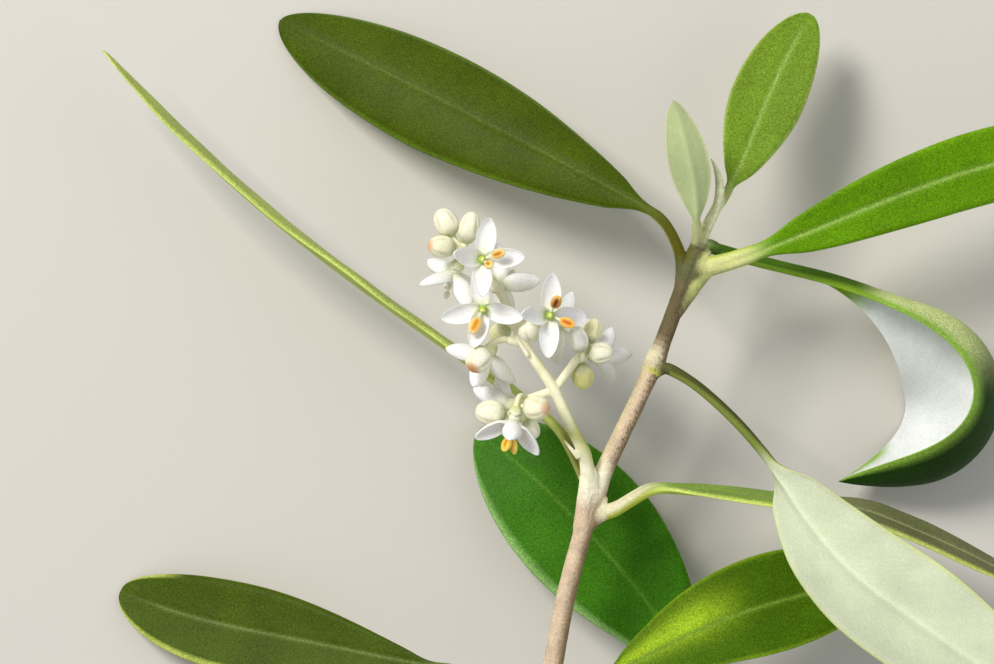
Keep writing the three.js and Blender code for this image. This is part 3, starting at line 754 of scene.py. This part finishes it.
def leaf_foot(leaf):
    """Where a petiole leaves the stem: the place on the stem's surface, the way it leaves and its start."""
    share = stem_course.nearest(STEM[leaf.node])
    along = stem_course.along(share)
    _, heading, climb, _ = leaf.course[0]
    leaving = direction(heading, climb)
    sideways = unit(leaving - along * (leaving @ along))
    surface = stem_course.at(share) + sideways * stem_radius(share) * 0.8
    return surface, leaving, surface + leaving * (CUSHION_LENGTH + CLEARANCE)


def stem_parts():
    """The rod, the forms fused to it, the terminal bud, the petioles' cushions with the ridges that run down
    from them, and the small buds in their axils."""
    share = np.linspace(0, 1, 160)
    slender = 1 - 0.3 * smooth(share, at_upper + 0.01, 1.0)
    parts = [tube(stem_course.at(share), stem_radius(share) * slender, 24)]
    for way, radius in (STALK_BOSS, STALK_FILLET, YOUNG_LEAF, RIGHT_RIDGE):
        course = Course(rounded(way), 30)
        radius = np.interp(course.shares, np.linspace(0, 1, len(radius)), radius)
        parts.append(tube(course.points, radius, 18))
    parts.append(ball(stem_course.at(1.0), stem_course.along(1.0), *TERMINAL_BUD))
    for leaf in LEAVES.values():
        surface, leaving, start = leaf_foot(leaf)
        along = stem_course.along(stem_course.nearest(surface))
        below = surface - along * RIDGE_LENGTH - leaving * leaf.radius * 0.9
        sleeve = Course(np.vstack([bent(below, surface - leaving * 0.2, start), start + leaving * 1.1]), 24)
        radius = np.interp(sleeve.shares, (0, 0.5, 0.72, 0.85, 1), (0.3, 1.0, 1.16, 1.1, 0.9)) * leaf.radius
        parts.append(tube(sleeve.points, radius, 14))
        if leaf.bud:
            bud = surface + along * (leaf.radius + 0.35) + leaving * 0.3
            parts.append(ball(bud, along + 0.8 * leaving, *AXILLARY_BUD))
    return parts


def bark_tints(share, aside):
    """Tan below, paler on the lit side and browner with painted shade on the side away from the light, olive
    brown with painted shade above the middle node, and pale at the tip, partly with painted light.
    A pale collar and a yellow green crescent mark the middle node."""
    above = (share - at_middle) * stem_course.length
    layers = {
        # Painted shade on the side away from the key light.
        "painted_shade_side": smooth(aside, -0.2, 0.8),
        "greenish_side": 0.6 * smooth(share, 0.45, 0.5) * (1 - smooth(aside, -0.9, -0.2)),
        # Painted shade above the middle node.
        "painted_shade_upper_stem": smooth(share, at_middle - 0.01, at_middle + 0.06),
        "upper_node": hump(share - at_upper, 0.03),
        # Pale at the tip, partly painted light against the leaves' shadow.
        "shoot": smooth(share, at_upper + 0.03, at_upper + 0.07),
        "collar": 0.85 * hump(above - 0.5, 1.0) * (1 - smooth(aside, 0.0, 0.8)),
        "crescent": 0.85 * hump(above + 0.75, 0.35) * smooth(aside, -0.8, 0.0),
    }
    tints = linear(BARK["pale_side"])
    for name, weight in layers.items():
        tints = dyed(tints, BARK[name], weight)
    return tints


def on_ridge(points, aside):
    """1 on the ridge below the upper right leaf's petiole, 0 off it."""
    away, share = near_course(points, Course(rounded(RIGHT_RIDGE[0]), 30))
    return (1 - smooth(away, 0.6, 1.0)) * smooth(aside, 0.1, 0.9) * smooth(share, 0.0, 0.4)


def cut_tints(points):
    rim = distances(points, (0, 0, 0))
    wood = dyed(linear(BARK["wood"]), BARK["green_ring"], smooth(rim, 0.62, 0.85))
    return dyed(wood, BARK["pith"], hump(rim, 0.22))


def stem_tints(points, normals):
    """The stem's colours, and how weathered it is. Each cushion takes its petiole's colour."""
    _, share = near_course(points, stem_course, 4)
    aside = points[:, 0] - stem_course.at(share)[:, 0]
    ridge = on_ridge(points, aside)
    tints = dyed(bark_tints(share, aside), BARK["ridge"], 0.9 * ridge)
    for leaf in LEAVES.values():
        *_, petiole_above, _ = leaf.look
        _, leaving, start = leaf_foot(leaf)
        near = 1 - smooth(distances(points, start + leaving * 0.5), 0.9, 1.9)
        tints = dyed(tints, petiole_above, 0.95 * near)
    boss = 1 - smooth(distances(points, BOSS_MIDDLE), 1.3, 3.4)
    cut = smooth(-normals @ stem_course.along(0.0), 0.7, 0.9) * (points[:, 1] < 0.6)
    tints = blend(dyed(tints, BARK["boss"], boss), cut_tints(points), cut)
    pitted = 0.3 + 0.7 * smooth(share, at_flowering + 0.03, at_flowering + 0.1)
    weather = smooth(normals[:, 0], -0.2, 0.45) * pitted * (1 - smooth(share, at_upper, at_upper + 0.05))
    weather = np.clip(0.12 + weather, 0, 1) * (1 - cut) * (1 - boss) * (1 - ridge)
    return tints, weather


def make_stem(material):
    points, normals, faces = fused(stem_parts(), STEM_VOXEL, STEM_ROUNDS)
    rough = waver(points * (1, 0.35, 1), 0.5, 1) * BARK_ROUGHNESS
    points = points + normals * (rough * (points[:, 1] > 0.3))[:, None]
    tints, weather = stem_tints(points, normals)
    show("stem_bark", Shape(points, faces, tint=tints, weather=weather), material, "stem")


# Leaves
def midline(leaf):
    """Distances, places and the section's two axes at each station, from inside the cushion to the tip."""
    length = leaf.petiole + leaf.blade
    rows = np.array(leaf.course, float).T
    fine = np.linspace(0, length, COURSE_STEPS + 1)
    heading, climb, roll = (np.interp(fine, rows[0], column) for column in rows[1:])
    along = direction(heading, climb)
    places = np.vstack([[0, 0, 0], np.cumsum(along[:-1] * length / COURSE_STEPS, axis=0)])
    level = unit(stacked(-along[:, 1], along[:, 0], 0))
    roll = np.radians(roll)[:, None]
    across = level * np.cos(roll) + np.cross(along, level) * np.sin(roll)
    out = np.cross(along, across)
    toward_tip = length - 2.4 * (1 - np.linspace(0, 1, 20)) ** 2
    at = np.concatenate([[-0.7, -0.3], np.linspace(0, toward_tip[0], BLADE_RINGS)[:-1], toward_tip])
    places, across, out = (between(at, fine, table) for table in (places, across, out))
    places += np.minimum(at, 0)[:, None] * along[0]
    return at, places + leaf_foot(leaf)[2], unit(across), unit(out)


def outline(share, widest, base, tip):
    """Half the blade's width as a share of its greatest. A smaller power makes a rounder base or tip."""
    share = np.clip(share, 0, 1)
    skewed = share ** (math.log(0.5) / math.log(widest))
    wide = np.clip(np.sin(np.pi * skewed), 0, 1)
    return np.where(share < widest, wide**base, wide**tip)


def section_shares(count):
    """Places round a flat section: across from 1 to -1 on the upper face and back beneath, and the face's
    sign. They lie close together at the middle and at the margins."""
    even = np.linspace(0, 1, count + 1)
    half = even - 0.75 * np.sin(2 * np.pi * even) / (2 * np.pi)
    over = np.concatenate([half[::-1], -half[1:]])
    across = np.concatenate([over, over[-2:0:-1]])
    face = np.concatenate([[0], np.ones(len(over) - 2), [0], -np.ones(len(over) - 2)])
    return across[None], face[None]


def evened(rings, side, rounds):
    """Rings with their outer parts evened out along the leaf, so that a margin on the inside of a sharp bend
    runs smoothly."""
    weight = (np.abs(side) ** 2)[..., None]
    for _ in range(rounds):
        middle = (rings[:-2] + rings[2:]) / 2
        rings[1:-1] += 0.5 * weight * (middle - rings[1:-1])
    return rings


def blade_section(leaf, at, share, side, face, seed):
    """How far the blade's surface lies across and out from its midline: the camber, the margins turned down
    and waving, the groove above and the rib beneath."""
    wide = outline(share, leaf.widest, *leaf.ends)
    half = np.maximum(leaf.width / 2 * wide, LEAST_HALF_WIDTH)
    _, wider = leaf.bend
    reach = side * half * (1 + wider * (side > 0) * hump(share - 0.5, 0.3))
    fade = np.clip(4 * (1 - share), 0.35, 1)
    thick = BLADE_HALF_THICKNESS * fade * np.sqrt(1 - side**20) * (1 - 0.3 * side**2)
    camber = leaf.cup * leaf.width * wide * side**2
    margin = -MARGIN_DROP * smooth(np.abs(side), 0.82, 1.0) ** 2 * np.clip(half / 3, 0, 1)
    where = stacked(at[:, None] / 1.6, side * 1.2, seed * 3.7)
    wave = WAVE_HEIGHT * waver(where, WAVE_LENGTH, seed) * np.abs(side) ** 1.3 * np.clip(half / 4, 0, 1)
    ahead = np.clip(share, 0, 1)
    groove = GROOVE_DEPTH * (1 - 0.6 * ahead) * hump(reach, GROOVE_WIDTH)
    rib = (LEAST_RIB + RIB_HEIGHT * (1 - ahead)) * hump(reach, RIB_WIDTH)
    return reach, camber + margin + wave + np.where(face > 0, thick - groove, -thick - rib * (face < 0))


def petiole_section(radius, at, side, face):
    """The same for the petiole, which is round with a channel above."""
    flare = (1 + 0.1 * hump(at - 0.4, 1.2) - 0.35 * (1 - smooth(at, -0.7, 0.0)))[:, None]
    round_off = np.sqrt(np.clip(1 - side**2, 0, 1))
    channel = CHANNEL_DEPTH * hump(side, 0.4) * (face > 0) * smooth(at, 0.5, 3.0)[:, None]
    return radius * flare * side, radius * flare * (face * round_off - channel)


def leaf_shape(leaf, seed):
    """A leaf's skin, with its tints and with each point's place on the blade."""
    at, places, across, out = midline(leaf)
    side, face = section_shares(BLADE_SECTION_STEPS)
    share = ((at - leaf.petiole) / leaf.blade)[:, None]
    blade = smooth(share, -0.03, 0.1)
    reach, lift = blade_section(leaf, at, share, side, face, seed)
    stalk_reach, stalk_lift = petiole_section(leaf.radius, at, side, face)
    sideways = stalk_reach * (1 - blade) + reach * blade
    outward = stalk_lift * (1 - blade) + lift * blade
    rings = places[:, None] + across[:, None] * sideways[..., None] + out[:, None] * outward[..., None]
    rounds, _ = leaf.bend
    place = stacked(reach, at[:, None], (face > 0) * (0.25 + 0.75 * blade))
    tint = leaf_tints(leaf, share, side, face, reach)
    points, faces = skin(evened(rings, side, rounds), 0.12)
    return Shape(points, faces, tint=with_ends(tint), blade=with_ends(place))


def leaf_tints(leaf, share, side, face, reach):
    """The petiole's colours, and the blade's with its midrib, its margin and what only some leaves have."""
    above, below, edge, rib, stalk_above, stalk_below = map(linear, leaf.look)
    outward = np.abs(side)
    lower = (face <= 0) * np.ones(share.shape)
    tint = blend(above, below, lower)
    rib = blend(rib, 1.15 * below, lower)
    if leaf.base:
        other, start, end = leaf.base
        near = (1 - smooth(share, start, end)) * (1 - lower)
        tint, rib = dyed(tint, other, near), dyed(rib, other, near)
    # Painted light: a bright band across the upper face.
    if leaf.glow:
        glow, middle, spread, end = leaf.glow
        lit = hump(side - middle, spread) * (1 - lower) * (1 - smooth(share, end - 0.25, end))
        tint = dyed(tint, glow, 0.9 * lit)
    rib_width = np.where(face > 0, 0.2, 0.32)
    tint = blend(tint, rib, 0.85 * hump(reach, rib_width) * (1 - smooth(share, 0.8, 1.0)))
    rim = 0.9 * smooth(outward, 0.9, 0.985)
    if leaf.margin:
        rim_side, start = leaf.margin
        there = np.maximum(side * rim_side > 0, smooth(share, 0.8, 0.92))
        rim = smooth(outward, start, start + 0.1) * there
    tint = blend(tint, edge, rim)
    stalk = blend(stalk_above, stalk_below, lower)
    stalk = blend(stalk, stalk_below, 0.8 * smooth(outward, 0.7, 1.0))
    return blend(stalk, tint, smooth(share, -0.06, 0.05))


def make_leaves(material):
    for seed, (name, leaf) in enumerate(LEAVES.items()):
        shape = leaf_shape(leaf, seed + 1)
        show(f"leaf_{name}_blade", shape, material, f"leaf_{name}")


# Flower stalk
def joint(name):
    return np.array(RACHIS.get(name) or BRANCHES[name][1], float)


def flower_foot(flower):
    return np.array(flower.throat) - direction(*flower.facing) * THROAT_HEIGHT


def bud_foot(bud):
    return np.array(bud.middle) - direction(*bud.facing) * bud.length / 2


def pedicel(flower, foot):
    """The short stalk of one flower or bud, from its joint up into the calyx."""
    way = direction(*flower.facing)
    start, end = joint(flower.joint), foot - way * CLEARANCE
    bend = end - way * 0.45 * np.linalg.norm(end - start)
    points = np.vstack([bent(start, bend, end), foot + way * 0.25])
    return tube(points, PEDICEL_RADIUS * np.linspace(1.05, 0.95, len(points)), 10)


def stalk_parts():
    share = np.linspace(0, 1, 60)
    places = [np.array(AXIL) * 0.4 + np.array(RACHIS["foot"]) * 0.6, *RACHIS.values()]
    course = Course(rounded(places))
    nodes = [course.nearest(RACHIS[node]) for node in ("bract", "first", "second", "third", "fourth")]
    radius = RACHIS_RADIUS_FOOT + (RACHIS_RADIUS_TIP - RACHIS_RADIUS_FOOT) * share**0.7
    radius = radius * (0.82 + 0.2 * (1 - smooth(share, 0, 0.1)))
    radius = radius * (1 + 0.14 * hump((share[:, None] - nodes) * course.length, 0.7).sum(1))
    parts = [tube(course.at(share), radius, 16)]
    for start, end in BRANCHES.values():
        parts.append(tube(np.linspace(joint(start), end, 6), RACHIS_RADIUS_TIP, 12))
    parts += [pedicel(flower, flower_foot(flower)) for flower in FLOWERS.values()]
    parts += [pedicel(bud, bud_foot(bud)) for bud in BUDS.values()]
    for foot, tip in BRACTS:
        parts.append(tube(np.linspace(foot, tip, 8), np.linspace(*BRACT_RADII, 8), 8))
    return parts


def make_stalk(material):
    points, normals, faces = fused(stalk_parts(), STALK_VOXEL, STALK_ROUNDS)
    patches = np.clip(0.2 + 0.45 * waver(points, 1.6, 5), 0, 1)
    tints = dyed(linear(STALK_CREAM), STALK_GREEN_AND_SHADE, patches)
    # Painted shade: greener on the side that faces away from the key light.
    tints = dyed(tints, STALK_GREEN_AND_SHADE, 0.6 * smooth(normals[:, 0], 0.2, 0.9))
    # Painted shadow: an olive band across the stalk's right side.
    olive = hump(points[:, 1] - STALK_SHADOW_Y, 1.6) * smooth(points[:, 0], 1.0, 2.2)
    tints = dyed(tints, STALK_SHADOW_OLIVE, 0.95 * olive)
    for foot, tip in BRACTS:
        tints = dyed(tints, STALK_CREAM, hump(distances(points, (np.array(foot) + tip) / 2), 0.9))
    show("flower_stalk_skin", Shape(points, faces, tint=tints), material, "flower_stalk")


# Flowers, each worked out standing on its calyx's foot and facing +Z
def rising(rings, foot, top, low, high, tip_bulge=0.0):
    """Skinned rings whose colour passes from one at the foot to another at the top, between two heights."""
    points, faces = skin(rings, tip_bulge)
    return Shape(points, faces, tint=dyed(linear(foot), top, smooth(points[:, 2], low, high)))


def spun(heights, radii, sides):
    """Rings round the Z axis. Heights and radii are for each ring, or for each ring and side."""
    angle = around(sides)
    heights, radii = (np.reshape(table, (len(table), -1)) for table in (heights, radii))
    return stacked(radii * np.cos(angle), radii * np.sin(angle), heights)


def calyx(height, radius):
    """A cup with four blunt teeth, open above and closed round its own wall."""
    sides = 32
    tooth = 0.5 + 0.5 * np.cos(4 * around(sides))
    rise = np.array([0.0, 0.12, 0.35, 0.65, 0.9, 1.0])
    outer = CALYX_FOOT_RADIUS + (radius - CALYX_FOOT_RADIUS) * np.sin(rise * np.pi / 2) ** 0.8
    inner = np.array([radius * 0.93, radius * 0.86, radius * 0.6, CALYX_FOOT_RADIUS * 0.5])
    top = height * (0.84 + 0.3 * tooth)
    heights = np.concatenate([rise[:, None] * top, np.outer([0.97, 0.7, 0.3, 0.12], top)])
    rings = spun(heights, np.concatenate([outer, inner]), sides)
    return rising(rings, CALYX_GREEN, CALYX_RIM, 0, height)


def petal_tints(share, side, face):
    """White, with a greenish foot and a faint painted shade along the middle of the inner face."""
    tint = dyed(linear(PETAL_WHITE), PETAL_PAINTED_SHADE, 0.4 * hump(side, 0.5) * (face > 0))
    return dyed(tint, PETAL_FOOT, 1 - smooth(share, 0.0, 0.3))


def petal(turn, spread, twist, seed):
    """A boat-shaped petal with an in-rolled margin and a hooded point, twisted about its own length."""
    share = np.linspace(0, 1, 26)[:, None]
    side, face = section_shares(PETAL_SECTION_STEPS)
    wide = np.sin(np.pi * np.clip(0.1 + 0.895 * share, 0, 1)) ** 0.55
    half = PETAL_WIDTH / 2 * wide
    curl = PETAL_CURL * share**2
    lift = half * (0.3 * side**2 + 0.28 * side**4) + curl + 0.22 * share**8
    lift = lift + 0.07 * np.sin(seed * 2.1 + share * 5 + side)
    thick = PETAL_HALF_THICKNESS * np.sqrt(1 - side**12) * (1 + 0.5 * (1 - share) * hump(side, 0.4))
    lift = lift + face * thick
    sideways = side * half * (1 - 0.1 * side**2)
    roll = math.radians(twist) * smooth(share, 0.0, 0.35)
    sideways, lift = (
        sideways * np.cos(roll) - (lift - curl) * np.sin(roll),
        sideways * np.sin(roll) + (lift - curl) * np.cos(roll) + curl,
    )
    reach, lean = PETAL_LENGTH * share, math.radians(spread)
    rings = stacked(
        0.25 + reach * math.sin(lean) - lift * math.cos(lean),
        sideways,
        THROAT_HEIGHT - 0.05 + reach * math.cos(lean) + lift * math.sin(lean),
    )
    shape = Shape(*skin(rings, 0.06), tint=with_ends(petal_tints(share, side, face)))
    return shape.turned(turned_axes(turn), 0)


def corolla(flower, seed):
    """The tube with its four petals, in the calyx."""
    heights = np.array([0.3, 0.6, 0.9, 1.1, 1.3, THROAT_HEIGHT, THROAT_HEIGHT - 0.05])
    radii = np.array([0.36, 0.47, 0.52, TUBE_RADIUS, TUBE_RADIUS, TUBE_RADIUS * 0.8, TUBE_RADIUS * 0.4])
    throat = rising(spun(heights, radii, 24), TUBE_GREEN, TUBE_WHITE, 0.6, 1.3)
    petals = [
        petal(90 * order + turn, spread, twist, seed * 4 + order)
        for order, (spread, (turn, twist)) in enumerate(zip(flower.spreads, flower.ways))
    ]
    return joined([calyx(CALYX_HEIGHT, CALYX_RADIUS), throat, *petals])


def anther(size, pale, deep, brown):
    """Two fat pollen sacs side by side, with a furrow between them and a slit down each. They are pale at
    their edges and ends, deep in the middle and brown along the furrow."""
    angle = around(32)[None]
    share = np.linspace(0.02, 0.98, 18)[:, None]
    swell = np.sin(np.pi * share) ** 0.5
    off_front = np.abs((angle + np.pi / 2) % np.pi - np.pi / 2)
    off_side = np.abs(angle % np.pi - np.pi / 2)
    furrow = 1 - 0.34 * hump(off_front, 0.42)
    slit = 1 - 0.14 * hump(off_side, 0.16)
    across = swell * furrow * slit
    rings = size * stacked(
        ANTHER_WIDTH * 0.35 * across * np.cos(angle),
        ANTHER_WIDTH * 0.5 * across * np.sin(angle),
        (share - 0.5) * ANTHER_LENGTH * (1 + 0.05 * hump(off_side, 0.7)),
    )
    tint = dyed(linear(pale), deep, hump(off_front, 0.75) * smooth(swell, 0.45, 0.85))
    tint = dyed(tint, brown, 0.9 * hump(off_front, 0.3) * smooth(swell, 0.7, 0.98))
    return Shape(*skin(rings), tint=with_ends(tint))


def pistil(foot, top):
    """The ovary with its style and two-lobed stigma."""
    share = np.linspace(0, 1, 14)
    swell = (0.5, 0.85, 1, 0.72, 0.42, 0.5, 0.56, 0.15)
    body = np.interp(share, (0, 0.12, 0.32, 0.5, 0.66, 0.78, 0.9, 1), swell)
    lobes = 1 + 0.16 * np.cos(2 * around(20)) * smooth(share, 0.7, 0.85)[:, None]
    rings = spun(foot + (top - foot) * share, OVARY_RADIUS * body[:, None] * lobes, 20)
    return rising(rings, OVARY_LIME, STIGMA_CREAM, foot + 0.6, top, 0.03)


def heart(flower):
    """The pistil and the stamens."""
    foot = THROAT_HEIGHT + 0.1
    top = THROAT_HEIGHT + 0.38
    parts = [pistil(foot, top + OVARY_HEIGHT)]
    for turn, spread, look in flower.stamens:
        lean = math.radians(spread)
        way = np.array([math.sin(lean), 0, math.cos(lean)])
        middle = way * ANTHER_REACH + (0, 0, top + 0.3)
        sac = anther(*look).turned([[way[2], 0, -way[0]], [0, 1, 0], way], middle)
        low = way * (0.3, 0, 0) + (0, 0, foot + 0.1)
        thread = tube(np.linspace(low, middle - way * 0.5, 6), FILAMENT_RADIUS, 8)
        tint = np.tile(linear(FILAMENT_CREAM), (len(thread[0]), 1))
        stamen = joined([sac, Shape(*thread, tint=tint)])
        parts.append(stamen.turned(turned_axes(turn), 0))
    return joined(parts)


def aimed(facing, leaning):
    """Axes of a thing built facing +Z that is turned to face a way, with its +X side leaning to another."""
    out = direction(*facing)
    side = direction(*leaning)
    side = unit(side - out * (side @ out))
    return [side, np.cross(out, side), out]


def make_flowers(petals, stamens):
    for seed, (name, flower) in enumerate(FLOWERS.items()):
        axes, foot = aimed(flower.facing, flower.leaning), flower_foot(flower)
        shape = corolla(flower, seed).turned(axes, foot)
        show(f"flower_{name}_petals", shape, petals, f"flower_{name}_corolla")
        shape = heart(flower).turned(axes, foot)
        show(f"flower_{name}_heart", shape, stamens, f"flower_{name}_stamens")


# Buds
def bud_shape(bud):
    """A ball of four closed petals with seams between them, in its calyx."""
    body, tip = bud.look
    sides = 40
    angle = around(sides)[None]
    share = np.linspace(0.02, 0.995, 26)[:, None]
    seam = hump((angle % (np.pi / 2)) - np.pi / 4, 0.16)
    swell = np.clip(np.sin(np.pi * share**0.94), 0, 1) ** 0.42
    squarer = 0.02 * np.cos(4 * angle)
    radius = bud.width / 2 * swell * (1.03 - 0.16 * seam * smooth(share, 0.2, 0.6) - squarer)
    tint = dyed(linear(body), tip, smooth(share, 0.84, 1.0))
    tint = dyed(tint, BUD_SEAM, 0.4 * seam * smooth(share, 0.2, 0.6))
    tint = dyed(tint, BUD_FOOT, 0.6 * (1 - smooth(share, 0.2, 0.45)))
    closed = Shape(*skin(spun(share * bud.length, radius, sides)), tint=with_ends(tint))
    return joined([closed, calyx(bud.length * 0.26, bud.width * 0.44)])


def make_buds(material):
    for name, bud in BUDS.items():
        axes = aimed(bud.facing, (bud.facing[0] + 90, 0))
        shape = bud_shape(bud).turned(axes, bud_foot(bud))
        show(f"bud_{name}_ball", shape, material, f"bud_{name}")


# Table, light and camera
CAMERA_HEIGHT = 350.0
VIEW_MIDDLE = (-4.095, 38.38)
PICTURE_WIDTH = 994
PIXELS_PER_MM = 10.5
SENSOR = 36.0
TABLE_SIZE = 4.0
TABLE_DROP = 0.0001
TABLE_COLOUR = (206, 202, 194)
SKY_COLOUR = (0.93, 0.96, 1.0, 1)
SKY_STRENGTH = 0.43


def make_table():
    bpy.ops.mesh.primitive_plane_add(size=TABLE_SIZE, location=(0, 0, -TABLE_DROP))
    table = bpy.context.object
    table.name = "table_top"
    nodes = Nodes("pale_table")
    table.data.materials.append(nodes.finish(Base_Color=(*linear(TABLE_COLOUR), 1), Roughness=0.85))


def make_light(name, place, size, watts, colour):
    lamp = bpy.data.lights.new(name, "AREA")
    lamp.size = size
    lamp.energy = watts
    lamp.color = colour
    holder = placed(name, lamp)
    holder.location = place
    holder.rotation_euler = (-Vector(place)).to_track_quat("-Z", "Y").to_euler()


def make_world():
    world = bpy.data.worlds.new("studio")
    world.use_nodes = True
    sky = world.node_tree.nodes["Background"].inputs
    sky["Color"].default_value = SKY_COLOUR
    sky["Strength"].default_value = SKY_STRENGTH
    bpy.context.scene.world = world


def make_camera():
    data = bpy.data.cameras.new("camera")
    data.sensor_width = SENSOR
    data.lens = SENSOR * CAMERA_HEIGHT / (PICTURE_WIDTH / PIXELS_PER_MM)
    data.clip_start = 0.01
    camera = placed("camera", data)
    camera.location = CUT_END + np.array([*VIEW_MIDDLE, CAMERA_HEIGHT]) * MM
    bpy.context.scene.camera = camera


make_stem(bark_material())
make_leaves(leaf_material())
make_stalk(tissue_material("stalk_skin", 0.55, 0.25, 0.03, 0.15))
make_flowers(
    tissue_material("petal_skin", 0.5, 0.18, 0.015, 0.25),
    tissue_material("stamen_skin", 0.55, 0.1, 0.03, 0.1),
)
make_buds(tissue_material("bud_skin", 0.45, 0.2, 0.015, 0.25))
make_table()
make_light("key", (-0.30, 0.28, 0.48), 0.2, 3.3, (1.0, 0.97, 0.92))
make_light("fill", (0.42, -0.12, 0.40), 0.5, 0.7, (0.94, 0.97, 1.0))
make_world()
make_camera()
bpy.context.scene.view_settings.view_transform = "Standard"
